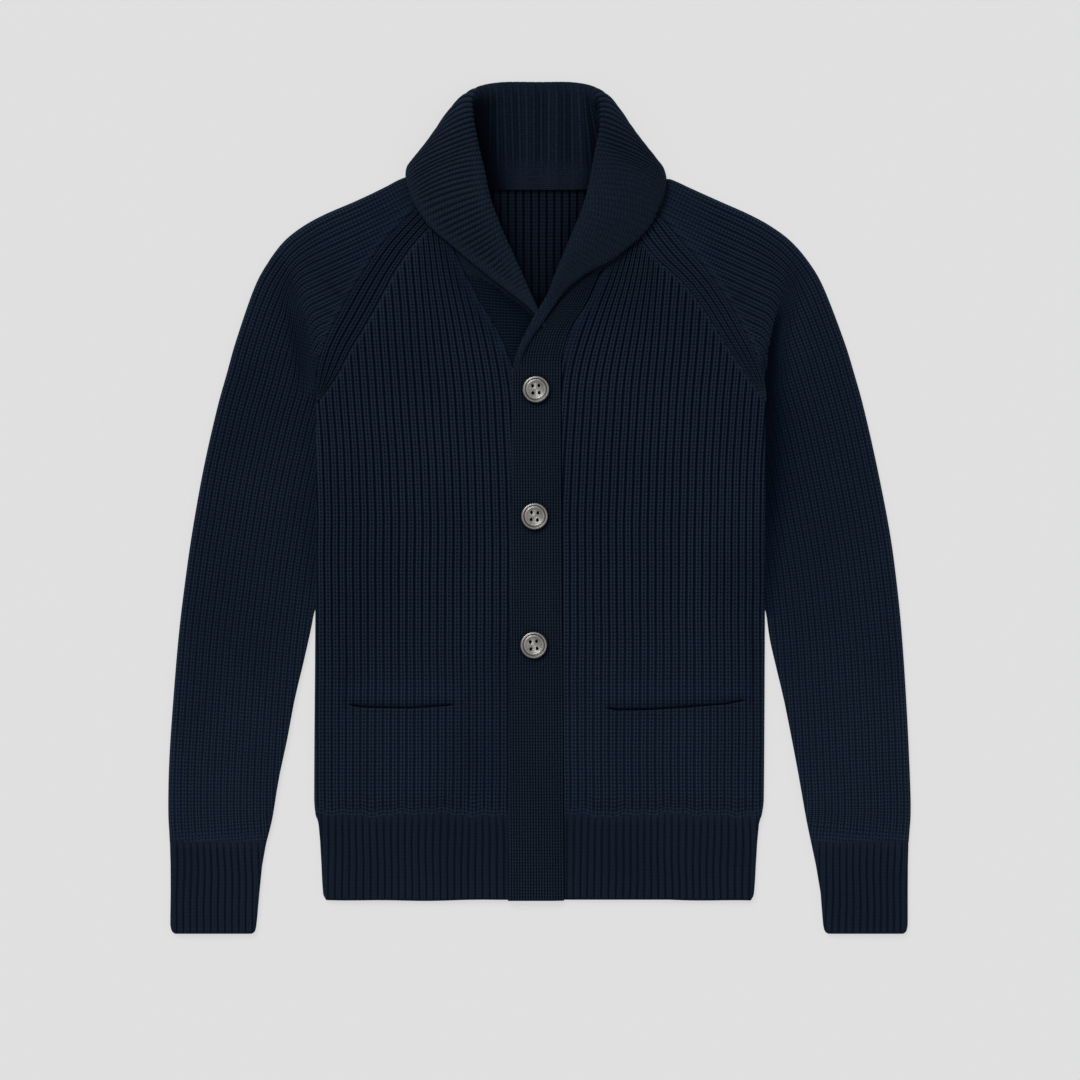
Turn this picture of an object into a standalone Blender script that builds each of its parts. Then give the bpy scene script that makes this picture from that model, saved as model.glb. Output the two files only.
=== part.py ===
"""Shawl collar cardigan in chunky rib, laid flat on its back on a level surface.

The front faces up (+Z), the neck points to +Y and the wearer's left is at +X.
The underside is at Z = 0.  Units are metres.

Outlines are drafted on a grid of squares SQ wide.  Every table below has one
row per section and its columns are named in the line above it.  Heights in
the tables are millimetres.
"""
import math

import bmesh
import bpy
import numpy as np
from mathutils import Vector

# ---------------------------------------------------------------- sizes
SQ = 0.00095          # one square of the drafting grid
MID = 0.5             # grid position of the middle of the whole garment
MM = 0.001

WALL = 3.2 * MM       # rib knit
COLLAR_WALL = 3.4 * MM
BAND_WALL = 3.0 * MM  # fine gauge front bands
AIR = 0.4 * MM        # between two layers that lie on each other
SEAM = 0.8            # squares between the two sides of a seam

TUBE_H = 2 * WALL + AIR        # height of a sleeve lying flat
FRONT_Z = WALL + AIR           # underside of the fronts

HEM_TOP = -307.0      # grid heights of the seams
HEM_END = -392.0
BACK_NECK = 320.4
ARMPIT = 112.0

BUTTON_D = 25.4 * MM
BUTTON_T = 4.0 * MM
HOLE_D = 2.6 * MM
HOLE_PITCH = 3.25 * MM         # hole centres from the button's centre, X and Y
SHANK_D = 3.0 * MM
SLOT_L, SLOT_W = 22.0 * MM, 4.0 * MM

BAG_WALL = 1.0 * MM
BAG_AIR = 0.4 * MM
BAG_Z = 3.5 * MM
BAG_LIFT = 2.7 * MM            # how far the front rises over a pocket bag
SLIT_H = 2.0 * MM

# ---------------------------------------------------------------- tables
# side edge of the body:   height, right side (viewer's left), left side
BODY_SIDE = [
    (112, -223.0, 227.0),
    (-132, -224.0, 226.0),
    (-292, -225.0, 225.0),
    (-307, -223.6, 223.0),
    (-314, -221.0, 220.4),
    (-340, -218.6, 218.0),
    (-386, -216.0, 215.0),
    (-392, -214.0, 213.0),
]
# raglan seam:   height, right side, left side
RAGLAN = [
    (334, -104.0, 103.0),
    (316, -109.0, 108.0),
    (296, -119.0, 112.5),
    (280, -132.0, 121.5),
    (252, -163.0, 143.0),
    (228, -180.0, 162.0),
    (204, -195.0, 178.0),
    (177, -209.5, 192.5),
    (153, -219.0, 208.0),
    (135, -222.0, 219.0),
    (112, -223.0, 227.0),
]
# front neckline and band seam:   height, right side, left side
NECKLINE = [
    (318, -107.0, 106.0),
    (293, -101.0, 101.0),
    (256, -84.0, 83.0),
    (235, -74.0, 68.5),
    (207, -59.0, 50.0),
    (175, -40.0, 29.5),
    (149, -29.0, 23.0),
    (136, -25.5, 22.5),
    (108, -25.0, 22.5),
    (-12, -25.0, 23.0),
    (-152, -25.5, 24.0),
    (-392, -26.0, 25.5),
]
# sleeve, right (viewer's left):  outer edge x, y, height of the inner edge
SLEEVE_R = [
    (-109, 332, 316), (-132, 335, 296), (-160, 318, 280), (-186, 306, 252),
    (-214, 294, 228), (-236, 282, 204), (-255, 267, 177), (-271, 246, 153),
    (-285, 220, 135), (-303, 168, 112), (-312, 136, 83), (-322.5, 98, 47),
    (-336, 38, -2), (-347.5, -27, -60), (-355.5, -84, -109),
    (-361, -132, -156), (-366, -192, -214), (-370, -252, -272),
    (-371, -302, -320), (-369.5, -332, -339),
]
CUFF_R = [(-369.4, -333, -340), (-368.5, -372, -376), (-369, -412, -414),
          (-366, -422.5, -426)]
# sleeve, left:  same columns
SLEEVE_L = [
    (108, 332, 316), (128, 335, 296), (156, 318, 280), (183, 306, 252),
    (210, 294, 228), (232, 282, 204), (252, 267, 177), (270, 246, 153),
    (285, 220, 135), (305, 168, 112), (315, 136, 83), (325.5, 98, 47),
    (339, 38, -2), (351.5, -27, -60), (359, -84, -109),
    (363.5, -132, -156), (367.5, -192, -214), (370.5, -252, -272),
    (372, -302, -320), (370, -332, -339),
]
CUFF_L = [(369.8, -333, -340), (369, -372, -376), (369, -412, -414),
          (367, -422.5, -426)]
# sleeve's own inner edge below the armpit:  height, right, left
SLEEVE_INNER = [
    (112, -224.0, 228.0), (-102, -225.2, 227.4), (-112, -226.4, 228.2),
    (-132, -230.5, 231.0), (-152, -235.0, 235.5), (-192, -244.5, 245.0),
    (-232, -252.0, 253.0), (-272, -260.5, 260.5), (-312, -267.0, 267.5),
    (-336, -273.0, 272.5), (-352, -276.2, 276.0), (-388, -280.0, 282.0),
    (-414, -282.5, 284.0), (-426, -285.5, 288.0),
]
# collar sections, one row each from the centre back to the front end:
# seam x y | roll x y z | free edge x y z   (seam height is SEAM_Z)
COLLAR_R = [
    (0, 318.5, 0, 424.2, 7.1, 0, 328, 1.8),
    (-34, 318.5, -37, 424.0, 7.6, -44, 328, 1.8),
    (-60, 319.5, -58, 419.5, 12.0, -84, 335, 1.85),
    (-82, 322, -66, 410.0, 18.0, -111, 344, 2.0),
    (-97, 323, -67, 394.0, 21.0, -129, 342, 5.0),
    (-102.5, 317, -65, 378.0, 21.5, -133, 331, 10.5),
    (-103, 308, -62, 362.0, 21.0, -129.5, 316, 12.0),
    (-100.5, 295, -56, 337.0, 19.5, -124, 303, 12.0),
    (-94.0, 278, -50, 309.0, 17.5, -109, 281, 11.0),
    (-81.5, 253, -39, 279.0, 14.5, -87, 262, 10.5),
    (-69.5, 229, -29, 254.0, 12.0, -66, 244, 10.2),
    (-56.0, 204, -17, 226.0, 9.5, -41, 224, 10.0),
    (-43.5, 182.5, -7.5, 203.0, 8.0, -16, 204.5, 9.8),
]
COLLAR_L = [
    (0, 318.5, 0, 424.2, 7.1, 0, 328, 1.8),
    (34, 318.5, 33, 424.0, 7.6, 44, 328, 1.8),
    (60, 319.5, 52, 419.5, 12.0, 80, 335, 1.85),
    (82, 322, 59, 410.0, 18.0, 100, 344, 2.0),
    (97, 323, 62, 394.0, 21.0, 120, 342, 5.0),
    (101.5, 317, 62, 378.0, 21.5, 126.5, 331, 10.5),
    (102, 308, 58.5, 360.0, 21.0, 126, 317, 12.0),
    (100.5, 295, 53, 329.0, 19.5, 121, 302, 12.0),
    (93.0, 278, 45, 299.0, 17.5, 107, 277, 11.0),
    (80.0, 254, 31, 265.0, 14.5, 76, 250, 10.5),
    (63.5, 230, 20, 239.0, 12.4, 49, 235, 10.6),
    (50.0, 208.5, 11, 216.0, 11.0, 27, 218, 11.0),
    (40.0, 193, 3, 201.0, 10.6, 13, 199, 12.4),
    (32.0, 180.5, -6.2, 183.0, 10.8, 2, 184, 12.8),
    (26.0, 165, -15.2, 164.5, 10.8, -8, 167, 12.8),
    (22.8, 149.6, -22.0, 150.0, 10.8, -16, 151, 12.8),
]
# how each section leaves the seam, passes the roll and reaches its free edge
# (right side; the left side turns the x columns round):
# out x y z | over x y z | tuck x y z
COLLAR_FORM = [
    (0, 35, 0.0, 0, 0, -5.3, 0, 35, 0),
    (0, 35, 0.0, 0, 0, -5.8, 0, 35, 0),
    (-3, 34, 0.6, -8, 5, -7, 4, 38, 0),
    (-7, 30, 2.0, -17, 8, 0, 8, 32, 4),
    (-4, 24, 4.0, -9, 3, 14, 16, 26, 10),
    (2, 22, 6.0, -2, 0, 17, 17, 20, 12),
    (8, 16, 6.0, -4, 0, 16, 18, 16, 12),
    (14, 12, 5.0, -3, 0, 15, 24, 14, 12),
    (16, 8, 4.0, -3, 0, 13, 24, 12, 10),
    (16, 7, 3.0, -2, 0, 10, 20, 10, 7),
    (14, 6, 2.0, -2, 0, 7.5, 14, 6, 4),
    (13, 6, 1.6, -1, 0, 4.5, 8, 2, 1.6),
    (13, 6, 2.4, -0.5, 0, 3.0, 4, 0, 0.6),
    (8, 1, 6.2, -0.5, 0, 2.2, 3, 0, 0.4),
    (8, 0, 6.2, -0.5, 0, 2.2, 3, 0, 0.4),
    (8, 0, 6.2, -0.5, 0, 2.2, 3, 0, 0.4),
]
SEAM_Z = 5.25 * MM
# pocket slits:   name, first x, last x, height
POCKETS = [("right", -190, -84, -198.5), ("left", 68, 205, -199.5)]
BAG_LOW = -286        # grid height of the bottom of both pocket bags
# buttons:   x, y
BUTTONS = [(-3.1, 118.6), (-4.5, -8.3), (-5.3, -137.1)]

# ---------------------------------------------------------------- helpers


def clear_scene():
    for obj in list(bpy.data.objects):
        bpy.data.objects.remove(obj, do_unlink=True)


def at(x, y, z=0.0):
    """Grid squares to metres; z is already in metres."""
    return ((x - MID) * SQ, y * SQ, z)


def follow(table, column, where):
    """Smooth curve through one column of a table, read at a height."""
    rows = sorted((row[0], row[column]) for row in table)
    h = [r[0] for r in rows]
    v = [r[1] for r in rows]
    where = min(max(where, h[0]), h[-1])
    slopes = []
    for i in range(len(h)):
        a, b = max(i - 1, 0), min(i + 1, len(h) - 1)
        left = (v[i] - v[a]) / (h[i] - h[a]) if i > a else None
        right = (v[b] - v[i]) / (h[b] - h[i]) if b > i else None
        if left is None or right is None:
            slopes.append(left if right is None else right)
        elif left * right <= 0:
            slopes.append(0.0)
        else:
            slopes.append(2 * left * right / (left + right))
    for i in range(len(h) - 1):
        if where <= h[i + 1]:
            w = h[i + 1] - h[i]
            t = (where - h[i]) / w
            return (v[i] * (1 + 2 * t) * (1 - t) ** 2 + v[i + 1] * t * t * (3 - 2 * t)
                    + slopes[i] * w * t * (1 - t) ** 2 - slopes[i + 1] * w * t * t * (1 - t))
    return v[-1]


def between(rows, steps):
    """Catmull-Rom rows between the rows of a table."""
    rows = np.array(rows, float)
    out = []
    for i in range(len(rows) - 1):
        p0 = rows[i - 1] if i else 2 * rows[0] - rows[1]
        p1, p2 = rows[i], rows[i + 1]
        p3 = rows[i + 2] if i + 2 < len(rows) else 2 * rows[-1] - rows[-2]
        for k in range(steps):
            t = k / steps
            out.append(0.5 * (2 * p1 + (p2 - p0) * t + (2 * p0 - 5 * p1 + 4 * p2 - p3) * t * t
                              + (3 * p1 - p0 - 3 * p2 + p3) * t ** 3))
    out.append(rows[-1])
    return np.array(out)


MATERIALS = {}


def material(name, colour, roughness, metallic, sheen=0.0):
    if name not in MATERIALS:
        mat = bpy.data.materials.new(name)
        mat.use_nodes = True
        shader = mat.node_tree.nodes["Principled BSDF"]
        shader.inputs["Base Color"].default_value = (*colour, 1.0)
        shader.inputs["Roughness"].default_value = roughness
        shader.inputs["Metallic"].default_value = metallic
        shader.inputs["Sheen Weight"].default_value = sheen
        mat.diffuse_color = (*colour, 1.0)
        MATERIALS[name] = mat
    return MATERIALS[name]


def knit():
    return material("navy_rib_knit", (0.0075, 0.0125, 0.024), 0.9, 0.0, 0.25)


def fine_knit():
    return material("navy_fine_knit", (0.007, 0.0118, 0.0225), 0.9, 0.0, 0.2)


def finish_object(name, bm, mat, parent, smooth=True):
    bmesh.ops.recalc_face_normals(bm, faces=bm.faces[:])
    mesh = bpy.data.meshes.new(name)
    bm.to_mesh(mesh)
    bm.free()
    obj = bpy.data.objects.new(name, mesh)
    bpy.context.scene.collection.objects.link(obj)
    obj.data.materials.append(mat)
    obj.parent = parent
    if smooth:
        mesh.shade_smooth()
        mesh.set_sharp_from_angle(angle=math.radians(40))
    return obj


def slab(name, rows, left, right, fractions, low, high, mat, parent,
         soft_left=None, soft_right=None, soft_low=False):
    """Closed wall between the heights low(x, y) and high(x, y).

    left(y) and right(y) give its edges.  soft_left and soft_right say for a
    row whether that edge is a fold, which is rounded off: on top, or
    underneath when soft_low is set.
    """
    rim = (0.0, 1.2 * MM / SQ, 3.2 * MM / SQ)
    drop = (1.9 * MM, 0.55 * MM, 0.0)
    bm = bmesh.new()
    lower, upper = [], []
    for y in rows:
        xl, xr = left(y), right(y)
        width = xr - xl
        squeeze = min(1.0, 0.25 * width / rim[2])
        xs = [xl + r * squeeze for r in rim]
        xs += [xl + f * width for f in fractions]
        xs += [xr - r * squeeze for r in reversed(rim)]
        fall = [0.0] * len(xs)
        for i, d in enumerate(drop):
            if soft_left and soft_left(y):
                fall[i] = d
            if soft_right and soft_right(y):
                fall[-1 - i] = d
        row_low, row_high = [], []
        for x, f in zip(xs, fall):
            zl, zh = low(x, y), high(x, y)
            if soft_low:
                zl += 0.6 * f
            else:
                zh -= f
            row_low.append(bm.verts.new(at(x, y, zl)))
            row_high.append(bm.verts.new(at(x, y, zh)))
        lower.append(row_low)
        upper.append(row_high)
    n = len(lower[0])
    for a in range(len(rows) - 1):
        for i in range(n - 1):
            bm.faces.new((upper[a][i], upper[a][i + 1], upper[a + 1][i + 1], upper[a + 1][i]))
            bm.faces.new((lower[a][i], lower[a + 1][i], lower[a + 1][i + 1], lower[a][i + 1]))
        for i in (0, n - 1):
            bm.faces.new((lower[a][i], lower[a + 1][i], upper[a + 1][i], upper[a][i]))
    for a in (0, -1):
        for i in range(n - 1):
            bm.faces.new((lower[a][i], lower[a][i + 1], upper[a][i + 1], upper[a][i]))
    return finish_object(name, bm, mat, parent)


def flat_tube(name, stations, mat, parent, first_closed=0):
    """Knitted tube pressed flat: two walls joined at folds.

    stations holds (outer point, inner point) in grid squares.  Before
    first_closed the inner side stands open along the armhole; from there on
    the tube closes round a fold on that side too.
    """
    h, fold, slot = TUBE_H, TUBE_H / 2, AIR / 2
    turn = [math.radians(a) for a in (-50, 0, 50)]
    spread = (0.74, 0.46, 0.2)
    bm = bmesh.new()
    outer_rings, inner_rings = [], []
    for k, (o, i) in enumerate(stations):
        po, pi = Vector(at(*o)), Vector(at(*i))
        width = (pi - po).length
        along = (pi - po) / width
        end = width if k < first_closed else width - fold
        span = [end] + [fold + s * (end - fold) for s in spread] + [fold]
        out_pts = [(s, 0.0) for s in span]
        in_pts = [(s, WALL) for s in span]
        out_pts += [(fold - fold * math.cos(a), h / 2 + h / 2 * math.sin(a)) for a in turn]
        in_pts += [(fold - slot * math.cos(a), h / 2 + slot * math.sin(a)) for a in turn]
        out_pts += [(s, h) for s in reversed(span)]
        in_pts += [(s, h - WALL) for s in reversed(span)]
        if k >= first_closed:
            base = width - fold
            out_pts += [(base + fold * math.cos(a), h / 2 + h / 2 * math.sin(a)) for a in reversed(turn)]
            in_pts += [(base + slot * math.cos(a), h / 2 + slot * math.sin(a)) for a in reversed(turn)]
        outer_rings.append([bm.verts.new(po + along * s + Vector((0, 0, z))) for s, z in out_pts])
        inner_rings.append([bm.verts.new(po + along * s + Vector((0, 0, z))) for s, z in in_pts])
    open_n = 13
    last = len(stations) - 1

    def strip(ring_a, ring_b, i, j):
        bm.faces.new((ring_a[i], ring_a[j], ring_b[j], ring_b[i]))

    for k in range(last):
        closed = k >= first_closed
        count = 16 if closed else open_n - 1
        for i in range(count):
            j = (i + 1) % 16 if closed else i + 1
            strip(outer_rings[k], outer_rings[k + 1], i, j)
            strip(inner_rings[k + 1], inner_rings[k], i, j)
        if not closed:
            for i in (0, open_n - 1):
                bm.faces.new((outer_rings[k][i], outer_rings[k + 1][i],
                              inner_rings[k + 1][i], inner_rings[k][i]))
    for k, pairs in ((0, range(16 if first_closed == 0 else open_n - 1)), (last, range(16))):
        for i in pairs:
            j = (i + 1) % 16 if (k == last or first_closed == 0) else i + 1
            bm.faces.new((outer_rings[k][i], outer_rings[k][j], inner_rings[k][j], inner_rings[k][i]))
    if first_closed:
        k = first_closed
        for i in range(open_n - 1, 16):
            j = (i + 1) % 16
            bm.faces.new((outer_rings[k][i], outer_rings[k][j], inner_rings[k][j], inner_rings[k][i]))
    return finish_object(name, bm, mat, parent)


def cells(name, xs, ys, zs, filled, mat, parent):
    """Closed solid of the box cells for which filled(i, j, k) is true."""
    bm = bmesh.new()
    verts = {}

    def corner(i, j, k):
        key = (i, j, k)
        if key not in verts:
            verts[key] = bm.verts.new((xs[i], ys[j], zs[k]))
        return verts[key]

    def full(i, j, k):
        inside = 0 <= i < len(xs) - 1 and 0 <= j < len(ys) - 1 and 0 <= k < len(zs) - 1
        return inside and filled(i, j, k)

    sides = (((1, 0, 0), ((1, 0, 0), (1, 1, 0), (1, 1, 1), (1, 0, 1))),
             ((-1, 0, 0), ((0, 0, 0), (0, 0, 1), (0, 1, 1), (0, 1, 0))),
             ((0, 1, 0), ((0, 1, 0), (0, 1, 1), (1, 1, 1), (1, 1, 0))),
             ((0, -1, 0), ((0, 0, 0), (1, 0, 0), (1, 0, 1), (0, 0, 1))),
             ((0, 0, 1), ((0, 0, 1), (1, 0, 1), (1, 1, 1), (0, 1, 1))),
             ((0, 0, -1), ((0, 0, 0), (0, 1, 0), (1, 1, 0), (1, 0, 0))))
    for i in range(len(xs) - 1):
        for j in range(len(ys) - 1):
            for k in range(len(zs) - 1):
                if not full(i, j, k):
                    continue
                for step, quad in sides:
                    if not full(i + step[0], j + step[1], k + step[2]):
                        bm.faces.new([corner(i + a, j + b, k + c) for a, b, c in quad])
    return finish_object(name, bm, mat, parent, smooth=False)


def cutter_box(name, centre, size):
    bm = bmesh.new()
    bmesh.ops.create_cube(bm, size=1.0)
    bmesh.ops.scale(bm, vec=size, verts=bm.verts[:])
    bmesh.ops.translate(bm, vec=centre, verts=bm.verts[:])
    return as_cutter(name, bm)


def as_cutter(name, bm):
    bmesh.ops.recalc_face_normals(bm, faces=bm.faces[:])
    mesh = bpy.data.meshes.new(name)
    bm.to_mesh(mesh)
    bm.free()
    obj = bpy.data.objects.new(name, mesh)
    bpy.context.scene.collection.objects.link(obj)
    obj.hide_render = True
    obj.display_type = "WIRE"
    return obj


def cut(obj, cutter):
    mod = obj.modifiers.new("cut_" + cutter.name, "BOOLEAN")
    mod.operation = "DIFFERENCE"
    mod.object = cutter
    mod.solver = "EXACT"


# ---------------------------------------------------------------- pieces


def ramp(value, low, high, soft):
    """1 between low and high, falling to 0 over soft on both sides."""
    if low <= value <= high:
        return 1.0
    gap = low - value if value < low else value - high
    return max(0.0, 1.0 - gap / soft)


def pocket_lift(x, y):
    best = 0.0
    for _, x0, x1, slit in POCKETS:
        best = max(best, ramp(x, x0 - 6, x1 + 6, 13) * ramp(y, BAG_LOW - 3, slit + 11, 14))
    return BAG_LIFT * best


def body_side(side):
    return lambda y: follow(BODY_SIDE, 1 + side, y)


def body_edge(side):
    """Side of the body up to the armpit, then the raglan seam."""
    def edge(y):
        table = RAGLAN if y > ARMPIT else BODY_SIDE
        return follow(table, 1 + side, y)
    return edge


def inset(curve, amount):
    return lambda y: curve(y) + amount


def build_back(parent):
    rows = (HEM_TOP + SEAM / 2, -292, -250, -200, -156, -109, -60, -2, 47, 83, 112,
            135, 153, 177, 204, 228, 252, 280, 296, BACK_NECK)
    left = body_edge(0)
    right = body_edge(1)
    fractions = (0.13, 0.31, 0.5, 0.69, 0.87)
    is_fold = lambda y: y <= ARMPIT
    slab("back", rows, left, right, fractions, lambda x, y: 0.0, lambda x, y: WALL,
         knit(), parent, is_fold, is_fold, soft_low=True)


def build_fronts(parent):
    rows = (HEM_TOP + SEAM / 2, BAG_LOW - 3, -250, -204, -194, -186, -172, -156, -109, -60,
            -2, 47, 83, 112, 135, 153, 177, 204, 228, 252, 280, 296, 306)
    low = lambda x, y: FRONT_Z + pocket_lift(x, y)
    high = lambda x, y: FRONT_Z + WALL + pocket_lift(x, y)
    is_fold = lambda y: y <= ARMPIT
    neck_r = lambda y: follow(NECKLINE, 1, y) - SEAM / 2
    neck_l = lambda y: follow(NECKLINE, 2, y) + SEAM / 2
    right = slab("front_right", rows, body_edge(0), neck_r,
                 (0.07, 0.145, 0.35, 0.56, 0.74, 0.81), low, high, knit(), parent,
                 soft_left=is_fold)
    left = slab("front_left", rows, neck_l, body_edge(1),
                (0.13, 0.19, 0.43, 0.68, 0.926), low, high, knit(), parent,
                soft_right=is_fold)
    for front, (side, x0, x1, slit) in zip((right, left), POCKETS):
        a, b = at(x0, slit), at(x1, slit)
        box = cutter_box("slit_" + side, ((a[0] + b[0]) / 2, a[1], 8 * MM),
                         (b[0] - a[0], SLIT_H, 16 * MM))
        cut(front, box)


def build_bags(parent):
    for side, x0, x1, slit in POCKETS:
        a, b = at(x0 - 3.2, slit), at(x1 + 3.2, slit)
        low = BAG_LOW * SQ
        xs = (a[0], a[0] + BAG_WALL, b[0] - BAG_WALL, b[0])
        ys = (low, low + BAG_WALL, a[1] - SLIT_H, a[1] + 8 * MM)
        zs = (BAG_Z, BAG_Z + BAG_WALL, BAG_Z + BAG_WALL + BAG_AIR, BAG_Z + 2 * BAG_WALL + BAG_AIR)

        def filled(i, j, k):
            if k == 0:
                return True
            if j == 2:
                return False
            return k == 2 or i in (0, 2) or j == 0

        cells("pocket_bag_" + side, xs, ys, zs, filled,
              material("navy_pocketing", (0.006, 0.009, 0.016), 0.85, 0.0), parent)


def build_hems(parent):
    rows = (HEM_END, -388, -366, -340, -320, HEM_TOP - SEAM / 2)
    side = [lambda y: follow(BODY_SIDE, 1, y) + corner(y), lambda y: follow(BODY_SIDE, 2, y) - corner(y)]
    fold = lambda y: True
    slab("hem_back", rows, side[0], side[1], (0.2, 0.5, 0.8), lambda x, y: 0.0,
         lambda x, y: WALL, fine_knit(), parent, fold, fold, soft_low=True)
    low = lambda x, y: FRONT_Z
    high = lambda x, y: FRONT_Z + WALL
    slab("hem_front_right", rows, side[0], lambda y: follow(NECKLINE, 1, y) - SEAM / 2,
         (0.3, 0.65), low, high, fine_knit(), parent, soft_left=fold)
    slab("hem_front_left", rows, lambda y: follow(NECKLINE, 2, y) + SEAM / 2, side[1],
         (0.35, 0.7), low, high, fine_knit(), parent, soft_right=fold)


def corner(y):
    """Rounded corner at the bottom of the hem."""
    return 1.5 if y <= HEM_END else 0.0


def build_sleeves(parent):
    for side, (name, sleeve, cuff) in enumerate((("right", SLEEVE_R, CUFF_R), ("left", SLEEVE_L, CUFF_L))):
        sign = -1 if side == 0 else 1

        def inner(y):
            if y > ARMPIT:
                return follow(RAGLAN, 1 + side, y) + sign * SEAM
            return follow(SLEEVE_INNER, 1 + side, y)

        stations = [((ox, oy), (inner(iy), iy)) for ox, oy, iy in sleeve]
        closed = next(k for k, row in enumerate(sleeve) if row[2] <= ARMPIT)
        flat_tube("sleeve_" + name, stations, knit(), parent, first_closed=closed)
        stations = [((ox, oy), (inner(iy), iy)) for ox, oy, iy in cuff]
        flat_tube("cuff_" + name, stations, fine_knit(), parent)


def collar_section(row, form, stand_n, fall_n):
    """Points of one collar section: seam, stand, roll, fall, free edge."""
    sx, sy, rx, ry, rz, fx, fy, fz = row
    seam = Vector(at(sx, sy, SEAM_Z))
    roll = Vector(at(rx, ry, rz * MM))
    edge = Vector(at(fx, fy, fz * MM))
    gx, gy, gz, tx, ty, tz, hx, hy, hz = form
    out = Vector((gx * SQ, gy * SQ, gz * MM))
    over = Vector((tx * SQ, ty * SQ, tz * MM))
    tuck = Vector((hx * SQ, hy * SQ, hz * MM))
    flat = Vector((out.x, out.y, 0)).normalized() * 2 * MM
    start = seam + flat
    points = [seam]

    def bezier(a, b, c, d, n, first):
        for k in range(first, n + 1):
            t = k / n
            points.append(a * (1 - t) ** 3 + b * 3 * t * (1 - t) ** 2 + c * 3 * t * t * (1 - t) + d * t ** 3)

    bezier(start, start + out, roll - over * 0.8, roll, stand_n, 0)
    bezier(roll, roll + over, edge + tuck, edge, fall_n, 1)
    return points


def build_collar(parent):
    forms = np.array(COLLAR_FORM, float)
    mirror = np.array([-1, 1, 1, -1, 1, 1, -1, 1, 1])
    stations = []
    left = between(COLLAR_L, 2)
    left_forms = between(forms[:len(COLLAR_L)] * mirror, 2)
    right = between(COLLAR_R, 2)
    right_forms = between(forms[:len(COLLAR_R)], 2)
    for row, form in list(zip(left, left_forms))[:0:-1] + list(zip(right, right_forms)):
        stations.append(collar_section(row, form, 5, 6))
    bm = bmesh.new()
    grid = [[bm.verts.new(p) for p in points] for points in stations]
    for a in range(len(grid) - 1):
        for i in range(len(grid[0]) - 1):
            bm.faces.new((grid[a][i], grid[a][i + 1], grid[a + 1][i + 1], grid[a + 1][i]))
    obj = finish_object("collar", bm, fine_knit(), parent)
    wall = obj.modifiers.new("wall", "SOLIDIFY")
    wall.thickness = COLLAR_WALL
    wall.offset = 0.0
    wall.use_rim = True


def band_low(x, y):
    """Underside of the upper band: over the lower band, then down to the front."""
    top = FRONT_Z + BAND_WALL + AIR
    t = min(max((x - 12.0) / 9.0, 0.0), 1.0)
    return top + (FRONT_Z - top) * t


def build_bands(parent):
    rows = (HEM_END, -300, -137, -8, 100, 136, 149, 162, 175, 181, 190, 198)

    def left(y):
        if y > 181:
            return -42.5 + (y - 181) * 1.93
        return follow(NECKLINE, 1, y) + SEAM / 2

    def right(y):
        return follow([(-392, 9.5), (130, 9.5), (140, 8.0), (149, 6.5), (162, 4.0), (175, 1.5), (190, -1.5), (198, -5.5)], 1, y)

    slab("button_band", rows, left, right, (0.5,), lambda x, y: FRONT_Z,
         lambda x, y: FRONT_Z + BAND_WALL, fine_knit(), parent)

    rows = (HEM_END - 1, -388, -300, -137, -8, 100, 128, 140, 148.8)
    edge = [(-392, -31.0), (-152, -30.0), (-12, -28.2), (108, -27.4), (136, -27.0), (148.8, -24.5)]
    upper_left = lambda y: follow(edge, 1, y)
    upper_right = lambda y: follow(NECKLINE, 2, y) - SEAM / 2
    band = slab("buttonhole_band", rows, upper_left, upper_right, (0.4, 0.76),
                band_low, lambda x, y: band_low(x, y) + BAND_WALL, fine_knit(), parent,
                soft_left=lambda y: True)
    for n, (x, y) in enumerate(BUTTONS, 1):
        cut(band, cutter_box("buttonhole_%d" % n, at(x, y, FRONT_Z + BAND_WALL + AIR + BAND_WALL / 2),
                             (SLOT_W, SLOT_L, 4 * BAND_WALL)))


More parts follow.
